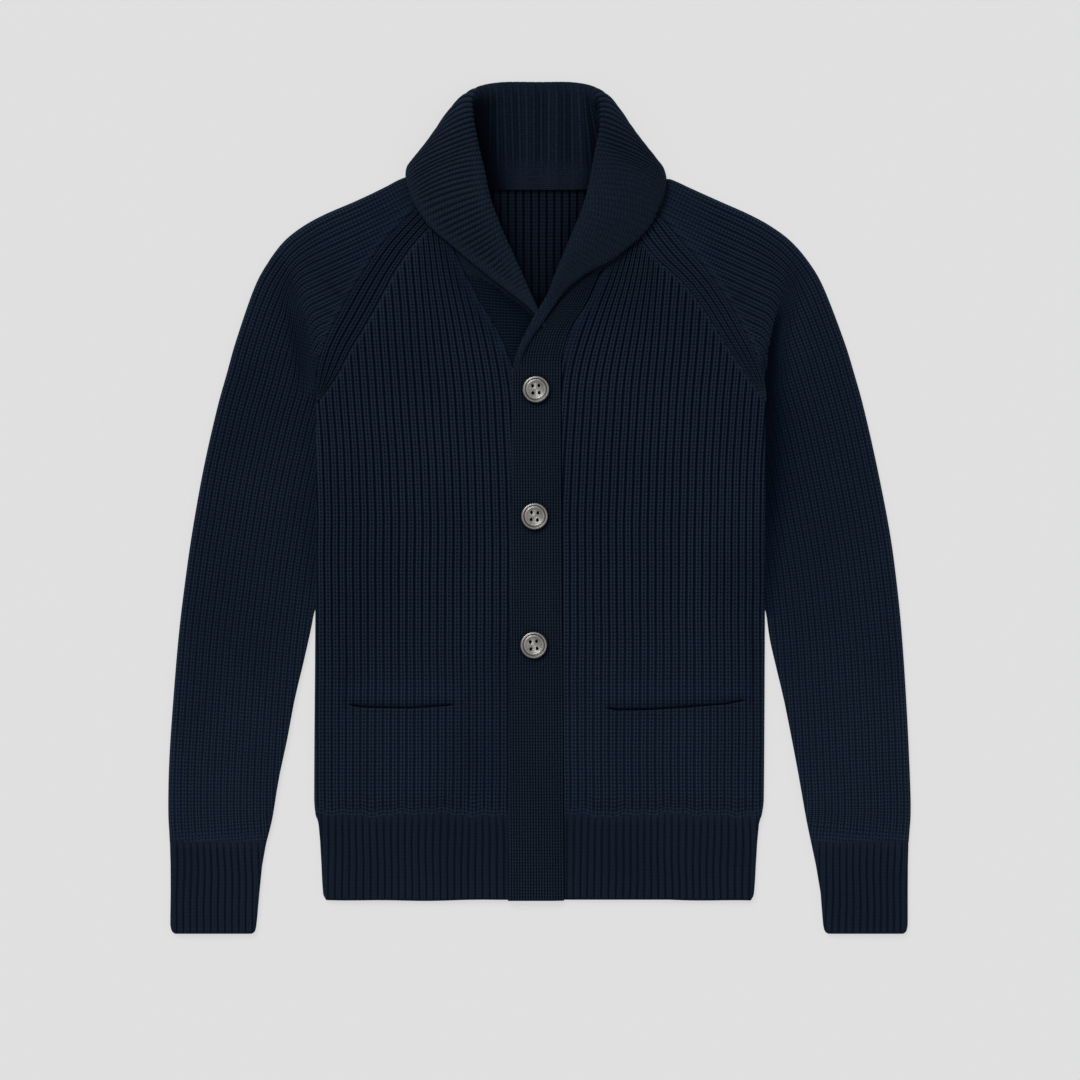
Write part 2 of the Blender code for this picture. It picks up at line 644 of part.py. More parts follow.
def build_buttons(parent):
    metal = material("pewter", (0.19, 0.18, 0.165), 0.42, 0.75)
    thread = material("navy_thread", (0.006, 0.008, 0.014), 0.8, 0.0)
    r = BUTTON_D / 2
    # button profile:   radius, height
    profile = [(0, 0), (r - 2.6 * MM, 0), (r - 0.7 * MM, 0.7 * MM), (r, 1.9 * MM), (r - 0.25 * MM, 3.3 * MM),
               (r - 1.0 * MM, BUTTON_T), (r - 1.9 * MM, 3.6 * MM), (r - 2.5 * MM, 2.7 * MM),
               (r - 3.2 * MM, 2.9 * MM), (r - 5.0 * MM, 2.5 * MM), (0, 2.3 * MM)]
    base = FRONT_Z + BAND_WALL + AIR + BAND_WALL + 0.4 * MM
    for n, (x, y) in enumerate(BUTTONS, 1):
        px, py, _ = at(x, y)
        bm = bmesh.new()
        verts = [bm.verts.new((rr, 0, zz)) for rr, zz in profile]
        edges = [bm.edges.new(pair) for pair in zip(verts, verts[1:])]
        bmesh.ops.spin(bm, geom=verts + edges, cent=(0, 0, 0), axis=(0, 0, 1), dvec=(0, 0, 0),
                       angle=2 * math.pi, steps=28, use_merge=True, use_duplicate=False)
        bmesh.ops.remove_doubles(bm, verts=bm.verts[:], dist=1e-6)
        button = finish_object("button_%d" % n, bm, metal, parent)
        button.location = (px, py, base)
        bm = bmesh.new()
        for sx in (-1, 1):
            for sy in (-1, 1):
                made = bmesh.ops.create_cone(bm, cap_ends=True, segments=10, radius1=HOLE_D / 2,
                                             radius2=HOLE_D / 2, depth=4 * BUTTON_T)
                bmesh.ops.translate(bm, vec=(sx * HOLE_PITCH, sy * HOLE_PITCH, 0), verts=made["verts"])
        holes = as_cutter("button_holes_%d" % n, bm)
        holes.location = button.location
        cut(button, holes)
        bm = bmesh.new()
        low = FRONT_Z + BAND_WALL + 0.3 * MM
        bmesh.ops.create_cone(bm, cap_ends=True, segments=10, radius1=SHANK_D / 2, radius2=SHANK_D / 2,
                              depth=base - 0.3 * MM - low)
        shank = finish_object("button_thread_%d" % n, bm, thread, parent)
        shank.location = (px, py, (base - 0.3 * MM + low) / 2)


def main():
    clear_scene()
    parent = bpy.data.objects.new("cardigan", None)
    bpy.context.scene.collection.objects.link(parent)
    build_back(parent)
    build_fronts(parent)
    build_bags(parent)
    build_hems(parent)
    build_sleeves(parent)
    build_collar(parent)
    build_bands(parent)
    build_buttons(parent)
    bpy.context.view_layer.update()


main()
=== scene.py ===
"""Looks of a shawl collar cardigan in chunky rib, laid flat with the front up.

Outlines are drafted in squares SQ wide, as on a knitting chart.  Heights are
millimetres.  "Right" and "left" are the wearer's; the wearer's left is at +X.
"""
import math

import bmesh
import bpy
import numpy as np
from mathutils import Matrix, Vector


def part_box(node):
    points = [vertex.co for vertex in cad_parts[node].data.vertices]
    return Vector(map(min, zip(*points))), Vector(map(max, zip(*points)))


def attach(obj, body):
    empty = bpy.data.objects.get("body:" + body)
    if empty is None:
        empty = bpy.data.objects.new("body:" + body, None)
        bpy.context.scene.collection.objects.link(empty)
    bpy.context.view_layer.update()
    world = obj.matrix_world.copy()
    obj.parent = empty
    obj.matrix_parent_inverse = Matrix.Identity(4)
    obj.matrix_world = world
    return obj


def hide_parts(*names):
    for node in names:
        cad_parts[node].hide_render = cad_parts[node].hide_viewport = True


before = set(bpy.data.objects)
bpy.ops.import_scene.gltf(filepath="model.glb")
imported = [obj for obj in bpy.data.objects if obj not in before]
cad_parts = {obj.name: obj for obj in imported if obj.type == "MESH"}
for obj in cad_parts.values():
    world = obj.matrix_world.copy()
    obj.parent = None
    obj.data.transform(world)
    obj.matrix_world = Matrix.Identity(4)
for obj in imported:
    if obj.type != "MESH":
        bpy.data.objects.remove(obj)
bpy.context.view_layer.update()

SQ = 0.00095
MID = 0.5
MM = 0.001

# ------------------------------------------------------------------ tables
BODY_SIDE = [(112, -223, 227), (-132, -224, 226), (-292, -225, 225), (-307, -223.6, 223),
             (-314, -221, 220.4), (-340, -218.6, 218), (-386, -216, 215), (-392, -213, 212)]
RAGLAN = [(334, -104, 103), (316, -109, 108), (296, -119, 112.5), (280, -132, 121.5),
          (252, -163, 143), (228, -180, 162), (204, -195, 178), (177, -209.5, 192.5),
          (153, -219, 208), (135, -222, 219), (112, -223, 227)]
# the band of four ribs along each raglan seam: height, outer and inner edge
YOKE_R = [(334, -104, -88), (316, -109, -90), (296, -126, -97.5), (280, -142, -111.5), (267, -154, -123),
          (258, -161, -130.5), (248, -168, -137), (237, -175, -144.5), (220, -186, -153.5), (204, -195, -162),
          (188, -203.5, -171), (177, -209.5, -177.5), (161, -216, -187.5), (137, -221.8, -200),
          (116, -223, -214), (106, -223.2, -222)]
YOKE_L = [(334, 103, 87), (316, 108, 88), (300, 114, 90), (285, 127, 94), (272, 138, 100), (261, 147.5, 108),
          (248, 159.5, 119), (235, 170, 134), (220, 180.5, 149), (199, 193.5, 165), (178, 205, 178),
          (155, 216.5, 193), (136, 223.5, 206), (125, 226.2, 213.7), (113, 227.4, 223), (106, 227.6, 226.5)]
NECKLINE = [(318, -107, 106), (293, -101, 101), (256, -84, 79), (235, -74, 62), (207, -59, 49),
            (175, -40, 29.5), (149, -29, 23), (136, -25.5, 22.5), (108, -25, 22.5), (-12, -25, 23),
            (-152, -25.5, 24), (-392, -26, 25.5)]
SLEEVE_R = [(-109, 330), (-132, 331.5), (-160, 318), (-186, 306), (-214, 294), (-236, 282), (-255, 267),
            (-271, 246), (-285, 220), (-303, 168), (-312, 136), (-322.5, 98), (-336, 38), (-347.5, -27),
            (-355.5, -84), (-361, -132), (-366, -192), (-370, -252), (-371, -302), (-369.5, -332)]
SLEEVE_L = [(108, 328), (128, 330), (156, 318), (183, 306), (210, 294), (232, 282), (252, 267),
            (270, 246), (285, 220), (305, 168), (315, 136), (325.5, 98), (339, 38), (351.5, -27),
            (359, -84), (363.5, -132), (367.5, -192), (370.5, -252), (372, -302), (370, -332)]
CUFF_OUT = [(-332, -369.4, 369.8), (-372, -368.5, 369), (-400, -368.8, 369), (-416, -369, 369),
            (-421, -368.3, 368.4), (-424.5, -366.6, 366.8), (-426, -364.2, 364.6)]
SLEEVE_INNER = [(112, -224, 228), (-102, -225.2, 227.4), (-112, -226.4, 228.2), (-132, -230.5, 231),
                (-152, -235, 235.5), (-192, -244.5, 245), (-232, -252, 253), (-272, -260.5, 260.5),
                (-312, -267, 267.5), (-336, -273, 272.5), (-352, -276.2, 276), (-388, -280, 282),
                (-417, -282.7, 284.3), (-422, -283.6, 285.4),
                (-424.8, -285.2, 287.2), (-426, -287.6, 289.6)]
# the fold where the arm turns down from the shoulder: height, right, left
FOLD = [(300, -292, 292), (262, -267, 266), (246, -254, 254.5), (232, -248, 250), (218, -243, 245.5), (203, -239, 241),
        (188, -233, 236.5), (173, -230, 232.8), (156, -228, 229.8), (140, -225.5, 228.4), (124, -223.5, 227.3),
        (112, -223, 227)]
POCKETS = [("right", -190.0, -85.0, -198.5, [(-190, 1.5), (-175, -0.5), (-132, -1.5), (-85, 1.5)]),
           ("left", 67.0, 206.0, -199.5, [(67, -0.5), (78, -2.5), (112, -2.0), (186, 3.5), (206, 7.0)])]
BAG_LOW = -286
BUTTONS = [(-3.1, 118.6), (-4.5, -8.3), (-5.3, -137.1)]
# collar: seam x y | roll x y z | free edge x y z
COLLAR_R = [
    (0, 318.5, 0, 424.2, 7.1, 0, 328, 1.8), (-34, 318.5, -37, 424.0, 7.6, -44, 328, 1.8),
    (-60, 319.5, -58, 419.5, 12.0, -84, 335, 1.85), (-82, 322, -66, 410.0, 18.0, -111, 344, 2.0),
    (-97, 323, -67, 394.0, 21.0, -129, 342, 5.0), (-102.5, 317, -65, 378.0, 21.5, -133, 331, 10.5),
    (-103, 308, -62, 362.0, 21.0, -129.5, 316, 12.0), (-100.5, 295, -56, 337.0, 19.5, -124, 303, 12.0),
    (-94.0, 278, -50, 309.0, 17.5, -109, 281, 11.0), (-81.5, 253, -39, 279.0, 14.5, -87, 262, 10.5),
    (-72.0, 234, -28, 255.0, 12.0, -66, 244, 10.2), (-50.0, 221, -15, 227.0, 10.0, -41, 224, 9.6),
    (-22.0, 201, -5.5, 205.0, 9.0, -15, 204, 9.0), (-8.0, 190, 0.5, 193.0, 8.5, -4, 193, 8.6),
    (0.0, 180, 6.0, 182.0, 8.0, 3, 181, 8.0)]
COLLAR_L = [
    (0, 318.5, 0, 424.2, 7.1, 0, 328, 1.8), (34, 318.5, 33, 424.0, 7.6, 44, 328, 1.8),
    (60, 319.5, 52, 419.5, 12.0, 80, 335, 1.85), (82, 322, 59, 410.0, 18.0, 100, 344, 2.0),
    (97, 323, 62, 394.0, 21.0, 120, 342, 5.0), (101.5, 317, 62, 378.0, 21.5, 126.5, 331, 10.5),
    (102, 308, 58.5, 360.0, 21.0, 126, 317, 12.0), (100.5, 295, 53, 329.0, 19.5, 121, 302, 12.0),
    (93.0, 278, 45, 299.0, 17.5, 107, 277, 11.0), (82.0, 254, 31, 265.0, 14.5, 76, 250, 10.6),
    (55.0, 232, 20, 239.0, 13.0, 49, 235, 11.0), (32.0, 215, 11, 216.0, 12.2, 27, 218, 11.4),
    (17.0, 196, 1.5, 199.0, 11.6, 12.5, 198, 11.6), (6.0, 182, -7.5, 184.0, 11.4, 3, 184, 11.6),
    (-5.0, 167, -15.2, 168.0, 11.2, -7.5, 169, 11.4), (-13.0, 150, -22.0, 152.0, 10.2, -15.5, 152.5, 10.4),
    (-20.0, 133, -24.6, 134.0, 6.6, -19.5, 134, 6.8)]
# out x y z | over x y z | tuck x y z  (right side; the left turns x round)
COLLAR_FORM = [
    (0, 35, 0.0, 0, 0, -5.3, 0, 35, 0), (0, 35, 0.0, 0, 0, -5.8, 0, 35, 0),
    (-3, 34, 0.6, -8, 5, -7, 4, 38, 0), (-7, 30, 2.0, -17, 8, 0, 8, 32, 4),
    (-4, 24, 4.0, -9, 3, 14, 16, 26, 10), (2, 22, 6.0, -2, 0, 17, 17, 20, 12),
    (8, 16, 6.0, -4, 0, 16, 18, 16, 12), (14, 12, 5.0, -3, 0, 15, 24, 14, 12),
    (16, 8, 4.0, -3, 0, 13, 24, 12, 10), (14, 6, 1.5, -2, 0, 9, 20, 10, 6),
    (8, 3, 0.4, -2, 0, 5.0, 14, 6, 3), (5, 2, 0.2, -1, 0, 3.0, 8, 2, 1.2),
    (4, 1, 0.2, -0.5, 0, 2.0, 4, 0, 0.5), (3, 0, 0.2, -0.5, 0, 1.6, 2.5, 0, 0.4),
    (3, 0, 0.2, -0.5, 0, 1.6, 2.5, 0, 0.3), (3, 0, 0.2, -0.5, 0, 1.6, 2, 0, 0.2),
    (3, 0, 0.2, -0.5, 0, 1.2, 2, 0, 0.1)]
SEAM_Z = 5.25

# cross section of one rib: place across it, height (0 groove, 1 crest)
RIB = ((0, 0), (.08, .04), (.14, .34), (.20, .80), (.28, 1), (.36, .98), (.43, .84),
       (.5, .66), (.57, .84), (.64, .98), (.72, 1), (.80, .80), (.86, .34), (.92, .04))
RIB_PLAIN = ((0, 0), (.14, .6), (.34, 1), (.5, .84), (.66, 1), (.86, .6))
TRIM = ((0, 0), (.1, .3), (.2, .72), (.33, .96), (.5, 1), (.67, .96), (.8, .72), (.9, .3))
RIDGE = ((0, 0), (.16, .5), (.33, .92), (.5, 1), (.67, .92), (.84, .5))
FINE = ((0, 0), (.25, .75), (.5, 1), (.75, .75))


# ----------------------------------------------------------------- numbers
def follow(table, column, where):
    """Smooth monotone curve through one column of a table."""
    rows = sorted((row[0], row[column]) for row in table)
    h = np.array([r[0] for r in rows], float)
    v = np.array([r[1] for r in rows], float)
    s = np.diff(v) / np.diff(h)
    m = np.empty(len(h))
    m[0], m[-1] = s[0], s[-1]
    for i in range(1, len(h) - 1):
        m[i] = 0.0 if s[i - 1] * s[i] <= 0 else 2 * s[i - 1] * s[i] / (s[i - 1] + s[i])
    w = np.clip(np.asarray(where, float), h[0], h[-1])
    i = np.clip(np.searchsorted(h, w, side="right") - 1, 0, len(h) - 2)
    d = h[i + 1] - h[i]
    t = (w - h[i]) / d
    return (v[i] * (1 + 2 * t) * (1 - t) ** 2 + v[i + 1] * t * t * (3 - 2 * t)
            + m[i] * d * t * (1 - t) ** 2 - m[i + 1] * d * t * t * (1 - t))


def rows_at(rows, t):
    """Catmull-Rom through the rows of a table, at float row numbers t."""
    rows = np.asarray(rows, float)
    rows = np.vstack([2 * rows[0] - rows[1], rows, 2 * rows[-1] - rows[-2]])
    t = np.clip(np.asarray(t, float), 0, len(rows) - 3 - 1e-9)
    i = np.floor(t).astype(int)
    f = (t - i)[..., None]
    p0, p1, p2, p3 = rows[i], rows[i + 1], rows[i + 2], rows[i + 3]
    return 0.5 * (2 * p1 + (p2 - p0) * f + (2 * p0 - 5 * p1 + 4 * p2 - p3) * f * f
                  + (3 * p1 - p0 - 3 * p2 + p3) * f ** 3)


def smooth(x, low=0.0, high=1.0):
    t = np.clip((np.asarray(x, float) - low) / (high - low), 0, 1)
    return t * t * (3 - 2 * t)


def round_edge(d, r):
    """0 at the edge, 1 from r inwards, on a quarter circle."""
    t = np.clip(np.asarray(d, float) / r, 0, 1)
    return np.sqrt(np.maximum(1 - (1 - t) ** 2, 0))


def height_of(profile):
    t = np.array([p[0] for p in profile] + [1.0])
    h = np.array([p[1] for p in profile] + [profile[0][1]])
    return lambda u: np.interp(np.mod(u, 1.0), t, h)


def xyz(x, y, z):
    x, y, z = np.broadcast_arrays(np.asarray(x, float), np.asarray(y, float), np.asarray(z, float))
    return np.stack([(x - MID) * SQ, y * SQ, z * MM], -1)


def to_line(x, y, line):
    """Distance to a polyline and the place along it, in squares."""
    a, b = line[:-1], line[1:]
    d = b - a
    n2 = (d ** 2).sum(1)
    length = np.sqrt(n2)
    along = np.concatenate([[0], np.cumsum(length)])[:-1]
    px, py = np.ravel(x), np.ravel(y)
    best = np.full(px.shape, 1e9)
    place = np.zeros(px.shape)
    for k in range(len(a)):
        t = ((px - a[k, 0]) * d[k, 0] + (py - a[k, 1]) * d[k, 1]) / n2[k]
        t = np.clip(t, 0, 1)
        e = np.hypot(px - a[k, 0] - t * d[k, 0], py - a[k, 1] - t * d[k, 1])
        near = e < best
        best[near] = e[near]
        place[near] = (along[k] + t * length[k])[near]
    return best.reshape(np.shape(x)), place.reshape(np.shape(x))


def dense(points, steps):
    return rows_at(points, np.linspace(0, len(points) - 1, (len(points) - 1) * steps + 1))


def wander(x, y, seed=0.0):
    """Slow drift of the ribs, about one in size."""
    return (np.sin(x * 0.021 + y * 0.034 + 1.3 + seed) + 0.7 * np.sin(x * 0.047 - y * 0.019 + 4.1 + 2 * seed)
            + 0.5 * np.sin(x * 0.013 + y * 0.083 + 2.2 - seed)) / 2.2


def ribbed(rows, start, end, number, profile):
    """Crossing points of the rows with the lines of the rib profile.

    number(r, t) gives the rib number at place t of every row, growing from
    start to end.  Returns places and rib numbers, rows by columns."""
    f = np.linspace(0, 1, 420)
    t = start[:, None] + (end - start)[:, None] * f
    n = np.maximum.accumulate(number(rows[:, None] + 0 * t, t), axis=1)
    n = n + f * 1e-6
    low, high = math.floor(n.min()), math.ceil(n.max())
    tees = np.array([p[0] for p in profile])
    cols = np.concatenate([(np.arange(low, high)[:, None] + tees).ravel(), [high]])
    place = np.array([np.interp(cols, n[r], t[r]) for r in range(len(rows))])
    ribs = np.clip(cols, n[:, :1], n[:, -1:])
    return place, ribs


# ------------------------------------------------------------------ meshes
class Cloth:
    """Collects closed skins and makes one object of them."""

    def __init__(self, name):
        self.name, self.points, self.coords, self.quads, self.odd, self.n = name, [], [], [], [], 0

    def add(self, points, coords):
        shape = points.shape[:-1]
        if coords.shape[-1] == 3:
            coords = np.concatenate([coords, np.ones(coords.shape[:-1] + (1,))], -1)
        self.points.append(points.reshape(-1, 3))
        self.coords.append(coords.reshape(-1, 4))
        count = len(self.points[-1])
        index = np.arange(self.n, self.n + count).reshape(shape)
        self.n += count
        return index

    def net(self, index):
        self.quads.append(np.stack([index[:-1, :-1], index[1:, :-1], index[1:, 1:], index[:-1, 1:]], -1).reshape(-1, 4))

    def slab(self, top, low, coords, low_coords=None, rstep=3, cstep=7):
        """Closed skin: a fine upper net, a coarser lower one and walls."""
        rows, cols = top.shape[:2]
        ri = sorted(set(range(0, rows, rstep)) | {rows - 1})
        ci = sorted(set(range(0, cols, cstep)) | {cols - 1})
        a = self.add(top, coords)
        pick = np.ix_(ri, ci)
        b = self.add(low[pick], (coords if low_coords is None else low_coords)[pick])
        self.net(a)
        self.net(b[:, ::-1])
        for k in range(len(ri) - 1):
            for c, e in ((0, 0), (cols - 1, len(ci) - 1)):
                self.odd.append(list(a[ri[k]:ri[k + 1] + 1, c]) + [b[k + 1, e], b[k, e]])
        for k in range(len(ci) - 1):
            for r, e in ((0, 0), (rows - 1, len(ri) - 1)):
                self.odd.append(list(a[r, ci[k]:ci[k + 1] + 1]) + [b[e, k + 1], b[e, k]])

    def make(self, material, sharp=50):
        points = np.concatenate(self.points)
        coords = np.concatenate(self.coords)
        # weld points that fell on each other where ribs are clipped at an edge
        key = np.round(points / 4e-6).astype(np.int64)
        _, first, index = np.unique(key, axis=0, return_index=True, return_inverse=True)
        index = index.reshape(-1)
        points, coords = points[first], coords[first]
        quads = index[np.concatenate(self.quads)]
        faces = []
        same = quads == np.roll(quads, -1, axis=1)
        count = same.sum(1)
        crossed = (quads[:, 0] == quads[:, 2]) | (quads[:, 1] == quads[:, 3])
        faces += quads[(count == 0) & ~crossed].tolist()
        for q in quads[(count == 1) & ~crossed].tolist():
            faces.append([v for k, v in enumerate(q) if v != q[k - 1]])
        for ring in self.odd:
            ring = index[ring].tolist()
            ring = [v for k, v in enumerate(ring) if v != ring[k - 1]]
            if len(set(ring)) == len(ring) >= 3:
                faces.append(ring)
        mesh = bpy.data.meshes.new(self.name)
        mesh.from_pydata(points.tolist(), [], faces)
        layer = mesh.attributes.new("knit", "FLOAT_VECTOR", "POINT")
        layer.data.foreach_set("vector", coords[:, :3].astype(np.float32).ravel())
        # point attribute of painted shade and painted highlight, 1 where none is painted
        layer = mesh.attributes.new("tone_and_painted_shading", "FLOAT", "POINT")
        layer.data.foreach_set("value", coords[:, 3].astype(np.float32).ravel())
        mesh.validate()
        bm = bmesh.new()
        bm.from_mesh(mesh)
        loose = [v for v in bm.verts if not v.link_faces]
        bmesh.ops.delete(bm, geom=loose, context="VERTS")
        bmesh.ops.dissolve_degenerate(bm, dist=2e-7, edges=bm.edges[:])
        bmesh.ops.recalc_face_normals(bm, faces=bm.faces[:])
        bm.to_mesh(mesh)
        bm.free()
        mesh.shade_smooth()
        mesh.set_sharp_from_angle(angle=math.radians(sharp))
        mesh.materials.append(material)
        obj = bpy.data.objects.new(self.name, mesh)
        bpy.context.scene.collection.objects.link(obj)
        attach(obj, "root")
        return obj


# --------------------------------------------------------------- materials
class Nodes:
    def __init__(self, name):
        self.mat = bpy.data.materials.new(name)
        self.mat.use_nodes = True
        self.tree = self.mat.node_tree
        self.shader = self.tree.nodes["Principled BSDF"]

    def node(self, kind, **settings):
        made = self.tree.nodes.new(kind)
        for key, value in settings.items():
            setattr(made, key, value)
        return made

    def put(self, socket, value):
        if isinstance(value, bpy.types.NodeSocket):
            self.tree.links.new(value, socket)
        else:
            socket.default_value = value

    def math(self, operation, a, b=None, c=None, clamp=False):
        made = self.node("ShaderNodeMath", operation=operation, use_clamp=clamp)
        for socket, value in zip(made.inputs, (a, b, c)):
            if value is not None:
                self.put(socket, value)
        return made.outputs[0]

    def step(self, value, low, high):
        made = self.node("ShaderNodeMapRange", interpolation_type="SMOOTHSTEP")
        self.put(made.inputs["Value"], value)
        made.inputs["From Min"].default_value = low
        made.inputs["From Max"].default_value = high
        return made.outputs["Result"]

    def wave(self, value):
        """Cosine with a period of one, from 0 to 1 and 1 at whole numbers."""
        return self.math("MULTIPLY_ADD", self.math("COSINE", self.math("MULTIPLY", value, 2 * math.pi)), 0.5, 0.5)

    def noise(self, vector, scale, detail=2.0, rough=0.5):
        made = self.node("ShaderNodeTexNoise")
        self.put(made.inputs["Vector"], vector)
        made.inputs["Scale"].default_value = scale
        made.inputs["Detail"].default_value = detail
        made.inputs["Roughness"].default_value = rough
        return made.outputs["Fac"]

    def mix(self, factor, a, b, blend="MIX"):
        made = self.node("ShaderNodeMix", data_type="RGBA", blend_type=blend)
        self.put(made.inputs["Factor"], factor)
        self.put(made.inputs["A"], a)
        self.put(made.inputs["B"], b)
        return made.outputs["Result"]

    def bump(self, height, distance, strength=1.0, normal=None):
        made = self.node("ShaderNodeBump")
        self.put(made.inputs["Height"], height)
        made.inputs["Distance"].default_value = distance
        made.inputs["Strength"].default_value = strength
        if normal is not None:
            self.put(made.inputs["Normal"], normal)
        return made.outputs["Normal"]


def knit_material(name, dark, light, per_rib, slant, groove, holes, stitch, fuzz, sheen, lines=0.6, pit=0.85, nap=0.12):
    """Yarn in rows of V stitches laid along the ribs.

    per_rib: stitch columns in one rib; slant: how far the legs of a stitch
    lean; groove: where the painted shade of the groove begins and ends, 1 at its
    bottom; holes: dark dots between the two columns; stitch: how strongly
    single stitches show; fuzz: strength of the fibres; lines: how strongly
    the columns stand apart; pit: how dark the painted groove shade is; nap: speckle."""
    g = Nodes(name)
    place = g.node("ShaderNodeTexCoord").outputs["Object"]
    own = g.node("ShaderNodeAttribute", attribute_name="knit")
    parts = g.node("ShaderNodeSeparateXYZ")
    g.put(parts.inputs[0], own.outputs["Vector"])
    u, v, w = parts.outputs
    tone_and_painted_shading = g.node("ShaderNodeAttribute", attribute_name="tone_and_painted_shading").outputs["Fac"]
    large = g.noise(place, 9.0, 2.0)
    soft = g.noise(place, 120.0, 2.0)
    fibre = g.noise(place, 620.0, 3.0, 0.70)
    v = g.math("MULTIPLY_ADD", soft, 0.35, v)
    across = g.math("FRACT", u)
    off = g.math("ABSOLUTE", g.math("MULTIPLY_ADD", across, 2.0, -1.0))    # 1 in the groove, 0 mid rib
    column = g.math("FRACT", g.math("MULTIPLY", u, float(per_rib)))
    edge = g.math("ABSOLUTE", g.math("MULTIPLY_ADD", column, 2.0, -1.0))   # 1 between two columns
    leg = g.wave(g.math("MULTIPLY_ADD", edge, -slant, v))                  # 1 on a yarn, 0 between two
    yarn = g.math("MULTIPLY_ADD", leg, stitch, 1.0 - stitch)
    if holes:
        mid = g.math("SUBTRACT", 1.0, g.step(off, 0.03, 0.34))
        dots = g.math("MULTIPLY", mid, g.math("MULTIPLY_ADD", g.wave(g.math("ADD", v, 0.5 - slant)), 0.62 * holes, 0.36 * holes))
        yarn = g.math("MULTIPLY", yarn, g.math("SUBTRACT", 1.0, dots))
    else:
        round_ = g.math("SUBTRACT", 1.0, g.math("POWER", edge, 2.4))
        yarn = g.math("MULTIPLY", yarn, g.math("MULTIPLY_ADD", round_, lines, 1.0 - lines))
    # painted shade in the grooves between the ribs
    deep = g.math("MULTIPLY", g.step(off, *groove), w)
    value = g.math("MULTIPLY", yarn, g.math("MULTIPLY_ADD", deep, -pit, 1.0))
    value = g.math("MULTIPLY", value, g.math("MULTIPLY_ADD", fibre, 1.0, 0.50))
    value = g.math("MULTIPLY", value, g.math("MULTIPLY_ADD", large, 0.5, 0.75))
    speck = g.noise(place, 430.0, 2.0, 0.6)
    value = g.math("MULTIPLY", value, g.math("MULTIPLY_ADD", speck, 2.0 * nap, 1.0 - nap))
    # painted shade and painted highlight from the point attribute scale the yarn's brightness
    value = g.math("MULTIPLY", value, tone_and_painted_shading, clamp=True)
    colour = g.mix(value, (*dark, 1.0), (*light, 1.0))
    # the deepest places lose nearly all their light
    sunk = g.math("MULTIPLY_ADD", g.step(tone_and_painted_shading, 0.0, 0.42), 0.66, 0.34)
    colour = g.mix(1.0, colour, sunk, "MULTIPLY")
    g.put(g.shader.inputs["Base Color"], colour)
    g.put(g.shader.inputs["Roughness"], g.math("MULTIPLY_ADD", fibre, 0.16, 0.78))
    g.shader.inputs["Specular IOR Level"].default_value = 0.05
    g.shader.inputs["Specular Tint"].default_value = (0.40, 0.58, 1.0, 1.0)
    g.shader.inputs["Sheen Weight"].default_value = sheen
    g.shader.inputs["Sheen Roughness"].default_value = 0.40
    g.shader.inputs["Sheen Tint"].default_value = (0.34, 0.50, 0.80, 1.0)
    knitted = g.bump(yarn, 0.0010, 0.8)
    g.put(g.shader.inputs["Normal"], g.bump(g.math("MULTIPLY_ADD", soft, 0.6, fibre), 0.0004, fuzz, knitted))
    return g.mat


def pocketing_material():
    g = Nodes("pocketing")
    place = g.node("ShaderNodeTexCoord").outputs["Object"]
    parts = g.node("ShaderNodeSeparateXYZ")
    g.put(parts.inputs[0], place)
    x = g.wave(g.math("MULTIPLY", parts.outputs[0], 900.0))
    y = g.wave(g.math("MULTIPLY", parts.outputs[1], 900.0))
    weave = g.math("MULTIPLY_ADD", g.math("SUBTRACT", x, y), 0.5, 0.5)
    blot = g.noise(place, 40.0, 3.0)
    value = g.math("MULTIPLY", weave, g.math("MULTIPLY_ADD", blot, 0.6, 0.6), clamp=True)
    g.put(g.shader.inputs["Base Color"], g.mix(value, (0.003, 0.0045, 0.008, 1), (0.008, 0.012, 0.021, 1)))
    g.shader.inputs["Roughness"].default_value = 0.85
    g.shader.inputs["Specular IOR Level"].default_value = 0.15
    g.shader.inputs["Sheen Weight"].default_value = 0.05
    g.put(g.shader.inputs["Normal"], g.bump(weave, 0.0003, 0.6))
    return g.mat


def thread_material():
    g = Nodes("thread")
    place = g.node("ShaderNodeTexCoord").outputs["Object"]
    twist = g.node("ShaderNodeTexWave", wave_type="BANDS", bands_direction="DIAGONAL")
    g.put(twist.inputs["Vector"], place)
    twist.inputs["Scale"].default_value = 700.0
    twist.inputs["Distortion"].default_value = 0.6
    g.put(g.shader.inputs["Base Color"], g.mix(twist.outputs["Fac"], (0.003, 0.0045, 0.008, 1), (0.012, 0.016, 0.026, 1)))
    g.shader.inputs["Roughness"].default_value = 0.62
    g.shader.inputs["Specular IOR Level"].default_value = 0.25
    g.put(g.shader.inputs["Normal"], g.bump(twist.outputs["Fac"], 0.0002, 0.7))
    return g.mat


